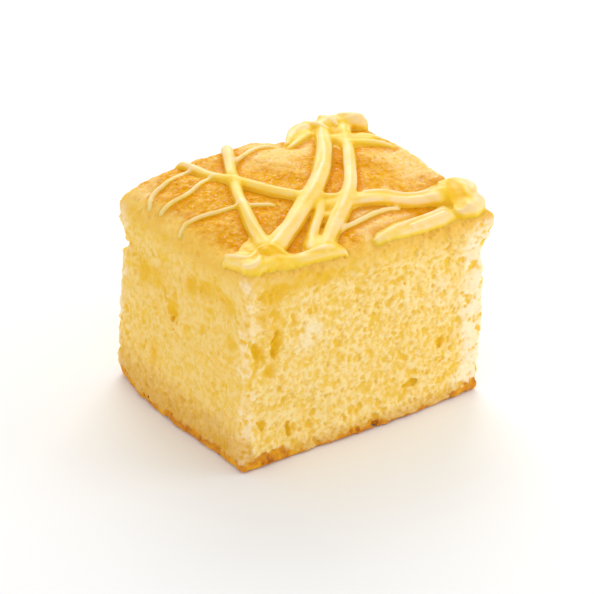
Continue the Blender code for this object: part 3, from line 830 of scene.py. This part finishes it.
def filaments(axes, top, route, seed):
    """The points and radii of a strand's filaments, along its route on the crust, and its own radii."""
    rings = smooth_route(route)
    ways = np.gradient(rings[:, :2], axis=0)
    ways /= np.linalg.norm(ways, axis=1)[:, None]
    normal = np.stack((-ways[:, 1], ways[:, 0]), axis=1)
    steps = np.linalg.norm(np.diff(rings[:, :2], axis=0), axis=1)
    travelled = np.concatenate(([0.0], np.cumsum(steps)))
    radius = rings[:, 2]
    ride = np.full(len(rings), RIDE_HEIGHT)
    ride[[0, -1]] = -END_SINK
    floor = np.array([crust_height(top, axes, x, y) for x, y in rings[:, :2]])
    bundle = []
    for order, (across, above, thickness) in enumerate(FILAMENTS):
        phase = seed * FILAMENT_PHASE[0] + order * FILAMENT_PHASE[1]
        wander = noise_at(travelled / FILAMENT_LENGTH, phase, WANDER_SEED)[:, None] * FILAMENT_WANDER * 2
        lift = noise_at(travelled / FILAMENT_LENGTH, phase, LIFT_SEED) * FILAMENT_WANDER
        place = rings[:, :2] + normal * (across + wander) * radius[:, None]
        points = np.column_stack((place, floor + (ride + above + lift) * radius))
        bundle.append((points, radius * thickness))
    return bundle, radius


def add_strand(icing, axes, top, route, seed):
    """Melts one strand into the icing, as a bundle of filaments."""
    bundle, radius = filaments(axes, top, route, seed)
    every = np.concatenate([points for points, _ in bundle])
    margin = radius.max() + 2 * STRAND_BLEND
    part, part_axes = part_around(axes, every.min(0) - margin, every.max(0) + margin)
    shape = icing[part].shape
    strand = np.full(shape, FAR, np.float32)
    for points, radii in bundle:
        strand = soft_min(strand, chain(part_axes, points, radii, shape), FILAMENT_BLEND)
    icing[part] = soft_min(icing[part], strand, STRAND_BLEND)


def surface_map(icing, axes, top):
    """The height of the icing's upper side over its two flat axes, or of the crust where there is none."""
    inside = icing < 0
    last = inside.shape[2] - 2 - inside[:, :, -2::-1].argmax(2)
    below = np.take_along_axis(icing, last[:, :, None], 2)[:, :, 0]
    above = np.take_along_axis(icing, last[:, :, None] + 1, 2)[:, :, 0]
    spacing = axes[2][1] - axes[2][0]
    height = axes[2][last] + spacing * below / np.minimum(below - above, -1e-6)
    return np.where(inside.any(2), height, top)


def draw_route(icing, axes, surface, route, sink):
    """Rods along a route on the icing's surface, sunk by a share of their radius, and where they lie."""
    rings = smooth_route(route)
    heights = np.array([value_near(surface, axes, place) for place in rings[:, :2]])
    even = np.full(ROUTE_SMOOTHING, 1 / ROUTE_SMOOTHING)
    heights = np.convolve(np.pad(heights, ROUTE_SMOOTHING // 2, "edge"), even, "valid")
    points = np.column_stack((rings[:, :2], heights - sink * rings[:, 2]))
    margin = rings[:, 2].max() + 2 * RIDGE_BLEND
    part, part_axes = part_around(axes, points.min(0) - margin, points.max(0) + margin)
    return part, chain(part_axes, points, rings[:, 2], icing[part].shape)


def add_pool(field, axes, top, pool):
    """Melts a pool or lump of icing into the field."""
    x, y, half_width, half_depth, half_height, above = pool
    centre = (x, y, crust_height(top, axes, x, y) + above)
    radii = (half_width, half_depth, half_height)
    part, offsets = local_part(axes, centre, max(radii) * POOL_REACH + STRAND_BLEND)
    dents = noise_at(*[(offset + c) / DENT_LENGTH for offset, c in zip(offsets, centre)])
    distance = ellipsoid(offsets, radii, Matrix.Identity(3))
    distance = distance - POOL_DENTS * min(radii) * dents
    field[part] = soft_min(field[part], distance, STRAND_BLEND)


def melted(icing):
    """The icing with its creases averaged away."""
    cells = round(MELT_REACH / ICING_VOXEL)
    return box_blurred(box_blurred(np.minimum(icing, MELT_WITHIN), cells), cells)


def icing_field(axes, top, body):
    """The distance to the icing, and the icing itself, which wets the crust and ends just under it."""
    icing = np.full(body.shape, FAR, np.float32)
    for seed, route in enumerate(STRANDS.values()):
        add_strand(icing, axes, top, route, seed)
    for pool in POOLS:
        add_pool(icing, axes, top, pool)
    icing = melted(icing)
    surface = surface_map(icing, axes, top)
    for route in RIDGES.values():
        part, ridge = draw_route(icing, axes, surface, route, RIDGE_SINK)
        icing[part] = soft_min(icing[part], ridge, RIDGE_BLEND)
    for route in GROOVES.values():
        part, groove = draw_route(icing, axes, surface, route, -GROOVE_LIFT)
        icing[part] = soft_max(icing[part], -groove, RIDGE_BLEND)
    for seed, route in enumerate(THREADS.values(), len(STRANDS)):
        add_strand(icing, axes, top, route, seed)
    wetted = soft_min(icing, body + WETTING_DEPTH, WETTING)
    wetted = np.maximum(wetted, icing - WETTING)
    return icing, np.maximum(wetted, -(body + ICING_SKIN))


def thread_share(points):
    """1 on the thin threads, and 0 off them."""
    middles = np.concatenate([smooth_route(route)[:, :2] for route in THREADS.values()])
    nearby = KDTree(len(middles))
    for index, (x, y) in enumerate(middles):
        nearby.insert((x, y, 0.0), index)
    nearby.balance()
    away = np.array([nearby.find((x, y, 0.0))[2] for x, y in points[:, :2]])
    reach, fade = THREAD_WIDTH
    return np.clip((reach - away) / fade, 0, 1)


# ================================ meshes ================================

def field_surface(field, axes):
    """The surface where a field is nil, as points in millimetres and quads."""
    grid = openvdb.FloatGrid(BEYOND)
    grid.copyFromArray(np.ascontiguousarray(field))
    points, quads = grid.convertToQuads(0.0)
    low = np.array([places[0] for places in axes])
    return points * (axes[0][1] - axes[0][0]) + low, quads.astype(np.int64)


def largest_shell(points, quads):
    """The points and quads of the surface's largest connected shell."""
    labels = np.arange(len(points))
    edges = np.concatenate([quads[:, (i, (i + 1) % 4)] for i in range(4)])
    while True:
        least = np.minimum(labels[edges[:, 0]], labels[edges[:, 1]])
        fresh = labels.copy()
        np.minimum.at(fresh, edges[:, 0], least)
        np.minimum.at(fresh, edges[:, 1], least)
        fresh = fresh[fresh]
        if np.array_equal(fresh, labels):
            break
        labels = fresh
    main = np.bincount(labels).argmax()
    kept = labels == main
    order = np.cumsum(kept) - 1
    return points[kept], order[quads[kept[quads[:, 0]]]]


def make_mesh(name, points, quads):
    """A mesh object in the row frame, from points in millimetres in the block's frame."""
    mesh = bpy.data.meshes.new(name)
    placed = (points + np.array((*BLOCK_MIDDLE, 0.0))) * MM
    mesh.vertices.add(len(points))
    mesh.vertices.foreach_set("co", placed.astype(np.float32).ravel())
    mesh.loops.add(quads.size)
    mesh.loops.foreach_set("vertex_index", quads.astype(np.int32).ravel())
    mesh.polygons.add(len(quads))
    mesh.polygons.foreach_set("loop_start", np.arange(0, quads.size, 4, dtype=np.int32))
    mesh.update(calc_edges=True)
    mesh.validate()
    obj = bpy.data.objects.new(name, mesh)
    bpy.context.scene.collection.objects.link(obj)
    return obj


def thin_out(obj, triangles):
    """Collapses the flattest edges until the mesh has no more than so many triangles."""
    modifier = obj.modifiers.new("thin_out", "DECIMATE")
    modifier.ratio = min(1.0, triangles / (2 * len(obj.data.polygons)))
    modifier.use_collapse_triangulate = True
    evaluated = obj.evaluated_get(bpy.context.evaluated_depsgraph_get())
    mesh = bpy.data.meshes.new_from_object(evaluated)
    obj.modifiers.clear()
    old = obj.data
    obj.data = mesh
    bpy.data.meshes.remove(old)
    mesh.name = obj.name
    mesh.shade_smooth()


def make_piece(name, field, axes, material):
    """One visible piece of the cake, meshed from a field."""
    points, quads = largest_shell(*field_surface(field, axes))
    obj = make_mesh(name, points, quads)
    thin_out(obj, PIECE_TRIANGLES[name])
    obj.data.materials.clear()
    obj.data.materials.append(material)
    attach(obj, "root")
    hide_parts("lemon_cake")
    return obj


def block_points(obj):
    """The object's vertices in millimetres in the block's frame."""
    co = np.empty(len(obj.data.vertices) * 3, np.float32)
    obj.data.vertices.foreach_get("co", co)
    return co.reshape(-1, 3) / MM - np.array((*BLOCK_MIDDLE, 0.0))


def store(obj, name, values):
    """Keeps a number for each vertex, for the material."""
    attribute = obj.data.attributes.new(name, "FLOAT", "POINT")
    attribute.data.foreach_set("value", np.asarray(values, np.float32))


# ================================ materials ================================

def linear(red, green, blue):
    """A colour given as seen on screen, 0 to 255, in the shader's linear values."""
    return (*[((c / 255 + 0.055) / 1.055) ** 2.4 if c > 10 else c / 3294.6 for c in (red, green, blue)], 1.0)


CREAM = linear(250, 221, 154)
CRUMB_DEEP = linear(240, 197, 74)
# painted shade: the saturated gold that light bouncing in the pores gives them
PORE_SHADE_GOLD = linear(242, 204, 44)
# partly painted shade in the tears and hollows
GOLDEN_CRUMB = linear(236, 184, 26)
# also a painted glow at the upright edges
EDGE_CREAM = linear(254, 236, 204)
DENSE_CRUMB = linear(240, 194, 80)
# partly the pressed crumb and partly painted shade on the left face
PRESSED_AND_SHADED_CRUMB = linear(238, 194, 88)
RIM_CRUMB = linear(244, 202, 96)
# darker towards the base, partly browning and partly painted shade
BROWNING_AND_SHADE = linear(224, 198, 146)
PEACH = linear(247, 202, 108)
GOLDEN = linear(231, 168, 34)
TOASTED = linear(223, 148, 4)
# painted glints
GLINT_SPECK = linear(251, 216, 168)
# painted shadow beside the icing
ICING_SHADOW = linear(224, 144, 0)
BAKED = linear(211, 136, 34)
BURNT = linear(140, 62, 12)
# painted highlight on the icing's crests and tops
ICING_HIGHLIGHT_CREAM = linear(251, 217, 157)
ICING_PALE = linear(249, 212, 114)
ICING_YELLOW = linear(247, 206, 58)
# partly painted shade on the icing's sides, valleys and foot
ICING_DEEP = linear(243, 192, 26)
TOP_HIGHLIGHT_PALENESS = 0.06                 # how much paler each millimetre of thickness makes the icing, a painted highlight on its tops


def add_node(tree, kind, settings=None, **inputs):
    """Adds a node, with its settings and its inputs, which are named or, as in i0, numbered."""
    node = tree.nodes.new(kind)
    for name, value in (settings or {}).items():
        setattr(node, name, value)
    for name, value in inputs.items():
        socket = node.inputs[int(name[1:]) if name[1:].isdigit() else name]
        if isinstance(value, bpy.types.NodeSocket):
            tree.links.new(value, socket)
        else:
            socket.default_value = value
    return node


def number(tree, name):
    """A number kept on the vertices."""
    return add_node(tree, "ShaderNodeAttribute", {"attribute_name": name}).outputs["Fac"]


def map_range(tree, value, low, high, to_low=0.0, to_high=1.0):
    """A value moved from one range to another and kept inside it."""
    node = add_node(
        tree, "ShaderNodeMapRange", {"interpolation_type": "SMOOTHSTEP"},
        i0=value, i1=low, i2=high, i3=to_low, i4=to_high,
    )
    return node.outputs[0]


def mix(tree, share, first, second, blend="MIX"):
    """Two colours mixed."""
    settings = {"data_type": "RGBA", "blend_type": blend}
    return add_node(tree, "ShaderNodeMix", settings, i0=share, i6=first, i7=second).outputs[2]


def cover(tree, colour, layers):
    """A colour covered with others, each as its value changes: value, from, to, greatest share, colour."""
    for value, low, high, most, layer in layers:
        colour = mix(tree, map_range(tree, value, low, high, 0.0, most), colour, layer)
    return colour


def grain(tree, millimetres, detail=3.0, roughness=0.55, shift=0.0):
    """Noise with a grain of so many millimetres, fixed to the piece."""
    place = add_node(tree, "ShaderNodeTexCoord").outputs["Object"]
    moved = add_node(tree, "ShaderNodeMapping", Vector=place, Location=(shift, 0.0, 0.0)).outputs["Vector"]
    node = add_node(
        tree, "ShaderNodeTexNoise", Vector=moved,
        Scale=1.0 / (millimetres * MM), Detail=detail, Roughness=roughness,
    )
    return node.outputs["Fac"]


def warped(tree, name, millimetres, amount, seed):
    """A stored distance, made ragged by noise."""
    ragged = grain(tree, millimetres, roughness=0.6, shift=seed)
    centred = add_node(tree, "ShaderNodeMath", {"operation": "SUBTRACT"}, i0=ragged, i1=0.5).outputs[0]
    node = add_node(
        tree, "ShaderNodeMath", {"operation": "MULTIPLY_ADD"}, i0=centred, i1=amount, i2=number(tree, name)
    )
    return node.outputs[0]


def bump(tree, height, millimetres, strength):
    """Fine relief from a height."""
    node = add_node(tree, "ShaderNodeBump", Height=height, Distance=millimetres * MM, Strength=strength)
    return node.outputs["Normal"]


def new_material(name, values):
    """A material and its shader, with these values on the shader's inputs."""
    material = bpy.data.materials.new(name)
    material.use_nodes = True
    shader = material.node_tree.nodes["Principled BSDF"]
    for socket, value in values.items():
        shader.inputs[socket].default_value = value
    return material, shader


def connect(tree, shader, links):
    """Links values to the shader's inputs."""
    for socket, value in links.items():
        tree.links.new(value, shader.inputs[socket])


def crumb_colour(tree):
    """Open yellow crumb: mottled cream and yellow, golden with painted shade in the pores and hollows, denser
    under the crust, with a painted glow at its upright edges.
    """
    pit = number(tree, "pit")
    wall = cover(tree, CRUMB_DEEP, (
        (grain(tree, 1.25, roughness=0.6), 0.36, 0.58, 1.0, CREAM),
        (grain(tree, 0.6, detail=2.0), 0.42, 0.64, 0.35, CREAM),
        # The left face is more golden, partly its pressed crumb and partly painted shade on that side.
        (number(tree, "pressed"), 0.0, 1.0, 0.45, PRESSED_AND_SHADED_CRUMB),
        (grain(tree, 3.4), 0.50, 0.72, 0.4, DENSE_CRUMB),
        (warped(tree, "under", 2.2, 5.0, 5.0), 8.0, 2.5, 0.6, DENSE_CRUMB),
        # Painted glow: the upright edges are paler, as where light shines through the thin crumb.
        (warped(tree, "edge", 3.0, 1.6, 9.0), 0.25, 0.9, 0.8, EDGE_CREAM),
        (number(tree, "golden"), -0.1, -0.8, 0.65, EDGE_CREAM),
    ))
    # Painted shade: the deeper a pore, the more it turns to the gold that bounced light gives it.
    floor = cover(tree, CRUMB_DEEP, [(pit, 0.35, 1.0, 1.0, PORE_SHADE_GOLD)])
    return cover(tree, wall, (
        (pit, 0.08, 0.42, 1.0, floor),
        # Partly painted shade: the tears and hollows turn golden.
        (warped(tree, "golden", 1.6, 0.9, 13.0), 0.15, 0.95, 0.8, GOLDEN_CRUMB),
    ))


def crust_colour(tree):
    """The baked top: pale with painted highlight where it swells, golden in the hollows, toasted, with
    painted glints and painted shadow beside the icing.
    """
    speckle = grain(tree, 0.75, roughness=0.7)
    mottle = grain(tree, 1.7, roughness=0.6)
    deep = cover(tree, TOASTED, [(mottle, 0.36, 0.58, 1.0, GOLDEN)])
    # The pale crust is specked with painted glints.
    pale = cover(tree, PEACH, [(speckle, 0.44, 0.66, 1.0, GLINT_SPECK)])
    return cover(tree, deep, (
        # Partly painted shade beside the icing and painted highlight on the domes.
        (warped(tree, "bake_and_shade", 2.6, 1.6, 17.0), 0.2, -0.75, 1.0, pale),
        (grain(tree, 3.8), 0.52, 0.66, 0.45, PEACH),
        (mottle, 0.54, 0.68, 0.35, PEACH),
        # Painted highlight: the crust is paler where it swells.
        (number(tree, "lift"), 0.2, 1.4, 0.3, PEACH),
        # Painted glints: pale specks of reflected light.
        (speckle, 0.56, 0.70, 0.5, GLINT_SPECK),
        # Painted shadow: deep orange on the crust beside the icing, on its near side.
        (number(tree, "to_icing"), 2.0, 0.3, 0.9, ICING_SHADOW),
        (warped(tree, "rim", 2.4, 3.0, 19.0), 4.5, 0.0, 0.7, RIM_CRUMB),
    ))


def base_colour(tree):
    """The browned base: orange brown, with darker toasted patches."""
    patches = grain(tree, 2.6, detail=4.0, roughness=0.6)
    return cover(tree, GOLDEN, (
        (patches, 0.36, 0.56, 1.0, BAKED),
        (patches, 0.54, 0.72, 0.65, BURNT),
        (grain(tree, 0.7, detail=4.0, roughness=0.7), 0.52, 0.74, 0.5, BAKED),
    ))


def cake_material(name):
    """Baked cake: crumb, crust and browned base, blended by place, so that the layers join unseen."""
    material, shader = new_material(name, {
        "Roughness": 0.75, "Specular IOR Level": 0.2,
        "Subsurface Weight": 0.45, "Subsurface Radius": (1.6, 1.1, 0.55), "Subsurface Scale": MM,
    })
    tree = material.node_tree
    under = warped(tree, "under", 1.6, 2.4, 3.0)
    baked = map_range(tree, under, 2.4, 0.9)
    browned = map_range(tree, warped(tree, "above_base", 1.5, 3.4, 7.0), 0.6, -0.25)
    # Darker towards the base and higher up the pressed left face, partly browning and partly painted shade.
    low = map_range(tree, warped(tree, "low", 2.4, 4.0, 11.0), 4.6, 1.2, 0.0, 0.65)
    colour = cover(tree, crumb_colour(tree), [(under, 4.0, 1.6, 0.3, GOLDEN)])
    colour = mix(tree, low, colour, BROWNING_AND_SHADE, "MULTIPLY")
    colour = mix(tree, baked, colour, crust_colour(tree))
    colour = mix(tree, browned, colour, base_colour(tree))
    glints = map_range(tree, grain(tree, 0.5, detail=2.0, shift=23.0), 0.55, 0.68, 0.0, 0.6)
    shine = add_node(tree, "ShaderNodeMix", {"data_type": "FLOAT"}, i0=baked, i2=0.15, i3=glints).outputs[0]
    connect(tree, shader, {
        "Base Color": colour,
        "Roughness": map_range(tree, baked, 0.0, 1.0, 0.75, 0.38),
        "Specular IOR Level": shine,
        "Subsurface Weight": map_range(tree, number(tree, "from_seam"), 0.4, 2.2, 0.0, 0.45),
        "Normal": bump(tree, grain(tree, 0.42, detail=4.0, roughness=0.65), 0.12, 0.3),
    })
    return material


def icing_material():
    """Lemon icing: a painted highlight in cream on its crests and tops, and a deep yellow where it is flat,
    low or thin, partly its translucency and partly painted shade on its sides and at its foot.
    """
    material, shader = new_material("lemon_icing", {
        "Roughness": 0.34, "Specular IOR Level": 0.22, "Coat Weight": 0.06, "Coat Roughness": 0.15,
        "Subsurface Weight": 0.4, "Subsurface Radius": (1.8, 1.3, 0.4), "Subsurface Scale": MM,
    })
    tree = material.node_tree
    thick = number(tree, "thick")
    crest = add_node(
        tree, "ShaderNodeMath", {"operation": "MULTIPLY_ADD"},
        i0=thick, i1=TOP_HIGHLIGHT_PALENESS, i2=warped(tree, "crest", 3.0, 0.06, 0.0),
    ).outputs[0]
    colour = cover(tree, ICING_DEEP, (
        # Painted highlight: the crests and thick tops are paler, up to cream.
        (crest, -0.02, 0.10, 1.0, ICING_YELLOW),
        (crest, 0.08, 0.20, 1.0, ICING_PALE),
        (crest, 0.17, 0.30, 1.0, ICING_HIGHLIGHT_CREAM),
        # Deep yellow at the foot, partly the thin icing's translucency and partly painted shadow; yellow on
        # the sides that do not face up, painted shade.
        (thick, 0.4, -0.1, 0.6, ICING_DEEP),
        (number(tree, "up"), 0.45, -0.2, 0.7, ICING_YELLOW),
        (grain(tree, 4.0, detail=2.0), 0.48, 0.70, 0.4, ICING_YELLOW),
    ))
    normal = bump(tree, grain(tree, 1.3), 0.08, 0.3)
    connect(tree, shader, {"Base Color": colour, "Normal": normal})
    return material


# ================================ the cake ================================

def rough_body(axes, smooth, top):
    """The baked cake as a field: the smooth block with its grain, tears, pores, chips and pits."""
    z = spread_out(axes)[2]
    baked = np.clip((z - top[:, :, None] + TOP_ROUNDING) / TOP_ROUNDING, 0, 1)
    body = smooth + (1 - BAKED_CLOTS * baked) * CLOT_HEIGHT * lattice_noise(axes, CLOT_LENGTH, SEEDS["clots"])
    body += (1 - BAKED_GRAIN * baked) * GRAIN_HEIGHT * lattice_noise(axes, GRAIN_LENGTH, SEEDS["grain"])
    body += baked * CRUST_GRAIN_HEIGHT * lattice_noise(axes, CRUST_GRAIN_LENGTH, SEEDS["crust_grain"])
    body += baked * CRUST_LUMP_HEIGHT * lattice_noise(axes, CRUST_LUMP_LENGTH, SEEDS["crust_lumps"])
    carve_tears(body, axes)
    carve_pores(body, axes, smooth)
    carve_chips(body, axes, smooth)
    carve_pits(body, axes, top)
    return np.maximum(body, -z)


def dive(past):
    """How deep a layer's surface lies under its neighbour's, past the line where they meet."""
    share = np.clip((past + DIVE_START) / (LAYER_OVERLAP + DIVE_START), 0, 1)
    return LAYER_DIVE * share * share * (3 - 2 * share)


def split_layers(axes, body, crust_floor, base_top):
    """The fields of the crumb, the top crust and the browned base, which overlap a little."""
    z = spread_out(axes)[2]
    above_floor = z - crust_floor[:, :, None]
    above_base = z - base_top[:, :, None]
    crumb = np.maximum(body + dive(above_floor) + dive(-above_base), above_floor - LAYER_OVERLAP)
    crumb = np.maximum(crumb, np.maximum(-above_base - LAYER_OVERLAP, LOWEST_CRUMB - z))
    top_crust = np.maximum(body + dive(-above_floor), -above_floor - LAYER_OVERLAP)
    base_crust = np.maximum(body + dive(above_base), above_base - LAYER_OVERLAP)
    return crumb, top_crust, base_crust


def store_places(piece, x, y, z):
    """Marks where the baked cake is pressed, low, golden (partly painted shade), pale (a painted glow) or
    near its rim, and how its top is.
    """
    start, fade = PRESSED_FACE
    pressed = np.clip((-WIDTH / 2 + start - x) / fade, 0, 1)
    store(piece, "pressed", pressed)
    store(piece, "low", z / (1.0 + PRESSED_BROWNING_AND_SHADE * pressed))
    golden_x = np.where(x < 0, golden_spots("left", y, z), golden_spots("right", y, z))
    golden_y = np.where(y < 0, golden_spots("front", x, z), golden_spots("back", x, z))
    near_side = WIDTH / 2 - np.abs(x) < DEPTH / 2 - np.abs(y)
    store(piece, "golden", np.where(near_side, golden_x, golden_y))
    # A painted glow, paler towards the upright edges.
    pale = [share * (1 - np.hypot(x - a, y - b) / reach) for a, b, reach, share in EDGE_GLOW_SPOTS]
    store(piece, "edge", np.clip(np.max(pale, axis=0), 0, 1))
    store(piece, "rim", np.minimum(x + WIDTH / 2, y + DEPTH / 2))
    # Partly painted shade and highlight on the top.
    store(piece, "bake_and_shade", add_hills(0, BAKE_AND_SHADE_SPOTS, x, y))
    store(piece, "lift", top_rise(x, y) - broad_rise(x, y))


def store_depths(piece, axes, smooth, top, crust_floor, base_top):
    """Marks how deep the baked cake lies in its pores, under the top and above the base."""
    points = block_points(piece)
    x_y, z = points[:, :2], points[:, 2]
    store(piece, "pit", -sample(smooth, axes, points))
    store(piece, "under", sample(top, axes[:2], x_y) - z)
    above_base = z - sample(base_top, axes[:2], x_y)
    above_floor = z - sample(crust_floor, axes[:2], x_y)
    store(piece, "above_base", above_base)
    store(piece, "from_seam", np.minimum(np.abs(above_floor), np.abs(above_base)))


def store_icing_shadow(piece, to_icing, axes):
    """Marks how near the icing is, for the painted shadow beside it."""
    points = block_points(piece)
    beside = sample(to_icing, axes, points + np.array(ICING_SHADOW_SHIFT))
    store(piece, "to_icing", np.where(points[:, 2] > ICING_SHADOW_LOWEST, beside, FAR))


def store_icing(piece, axes, icing, body):
    """Marks how thick the icing is, where its crests lie and how far it faces up."""
    points = block_points(piece)
    store(piece, "thick", sample(body, axes, points))
    shown = np.clip(np.minimum(icing, body), -CREST_DEPTH, CREST_DEPTH)
    crest = sample(box_blurred(shown, round(CREST_REACH / ICING_VOXEL)), axes, points)
    # Partly painted highlight on lumps and rims and painted shade in valleys.
    tone = add_hills(0, ICING_TONES, points[:, 0], points[:, 1])
    store(piece, "crest", crest + THREAD_PALENESS * thread_share(points) + tone)
    normals = np.empty(len(piece.data.vertices) * 3, np.float32)
    piece.data.vertex_normals.foreach_get("vector", normals)
    store(piece, "up", normals.reshape(-1, 3)[:, 2])


def build_cake():
    """Makes the crumb, the baked top, the browned base and the icing."""
    axes = make_axes(BLOCK_LOW, BLOCK_HIGH, VOXEL)
    x, y, _ = spread_out(axes)
    x, y = x[:, :, 0], y[:, :, 0]
    top = EDGE_HEIGHT + top_rise(x, y).astype(np.float32)
    smooth = block_field(axes, top)
    body = rough_body(axes, smooth, top)
    uneven = CRUST_UNEVEN * flat_noise(x, y, CRUST_UNEVEN_LENGTH, SEEDS["layer"])
    crust_floor = top - (CRUST_LAYER + uneven)
    base_top = base_height(x, y)
    crumb, top_crust, base_crust = split_layers(axes, body, crust_floor, base_top)
    crumb_look = cake_material("lemon_crumb")
    crust_look = cake_material("baked_crust")
    baked_pieces = (
        make_piece("crumb", crumb, axes, crumb_look),
        make_piece("top_crust", top_crust, axes, crust_look),
        make_piece("base_crust", base_crust, axes, crust_look),
    )

    icing_axes = make_axes(ICING_LOW, BLOCK_HIGH, ICING_VOXEL)
    icing_body = resample(body, axes, icing_axes)
    icing_top = resample(top, axes[:2], icing_axes[:2])
    to_icing, icing = icing_field(icing_axes, icing_top, icing_body)
    for piece in baked_pieces:
        store_depths(piece, axes, smooth, top, crust_floor, base_top)
        store_icing_shadow(piece, to_icing, icing_axes)
        store_places(piece, *block_points(piece).T)
    piece = make_piece("icing", icing, icing_axes, icing_material())
    store_icing(piece, icing_axes, to_icing, icing_body)


# ================================ stage ================================

def make_camera():
    """The camera at the photograph's viewing angle."""
    data = bpy.data.cameras.new("camera")
    data.lens = LENS
    data.sensor_width = 36.0
    data.clip_start = 0.01
    camera = bpy.data.objects.new("camera", data)
    bpy.context.scene.collection.objects.link(camera)
    shift = Vector((*BLOCK_MIDDLE, 0.0))
    place = (Vector(CAMERA_PLACE) + shift) * MM
    target = (Vector(CAMERA_TARGET) + shift) * MM
    turn = (target - place).to_track_quat("-Z", "Y").to_matrix()
    turn = turn @ Matrix.Rotation(CAMERA_ROLL, 3, "Z")
    camera.matrix_world = Matrix.Translation(place) @ turn.to_4x4()
    bpy.context.scene.camera = camera


def add_light(name, place, size, power):
    """A soft square light that looks at the cake."""
    data = bpy.data.lights.new(name, "AREA")
    data.size = size * MM
    data.energy = power
    light = bpy.data.objects.new(name, data)
    bpy.context.scene.collection.objects.link(light)
    light.location = Vector(place) * MM
    way = Vector(LIGHTS_AIM) - Vector(place)
    light.rotation_euler = way.to_track_quat("-Z", "Y").to_euler()


def make_stage():
    """A plain pale floor, a bright even surround and soft lights."""
    bpy.ops.mesh.primitive_plane_add(size=FLOOR_SIZE * MM, location=(0, 0, -FLOOR_DROP * MM))
    floor = bpy.context.object
    floor.name = "floor"
    grey = (FLOOR_GREY, FLOOR_GREY, FLOOR_GREY, 1.0)
    floor.data.materials.append(new_material("floor", {"Base Color": grey, "Roughness": 0.9})[0])
    world = bpy.data.worlds.new("surround")
    world.use_nodes = True
    background = world.node_tree.nodes["Background"]
    background.inputs["Color"].default_value = (1.0, 1.0, 1.0, 1.0)
    background.inputs["Strength"].default_value = SURROUND
    bpy.context.scene.world = world
    for light in LIGHTS:
        add_light(*light)
    bpy.context.scene.view_settings.view_transform = "Standard"


build_cake()
make_stage()
make_camera()

bpy.context.view_layer.update()
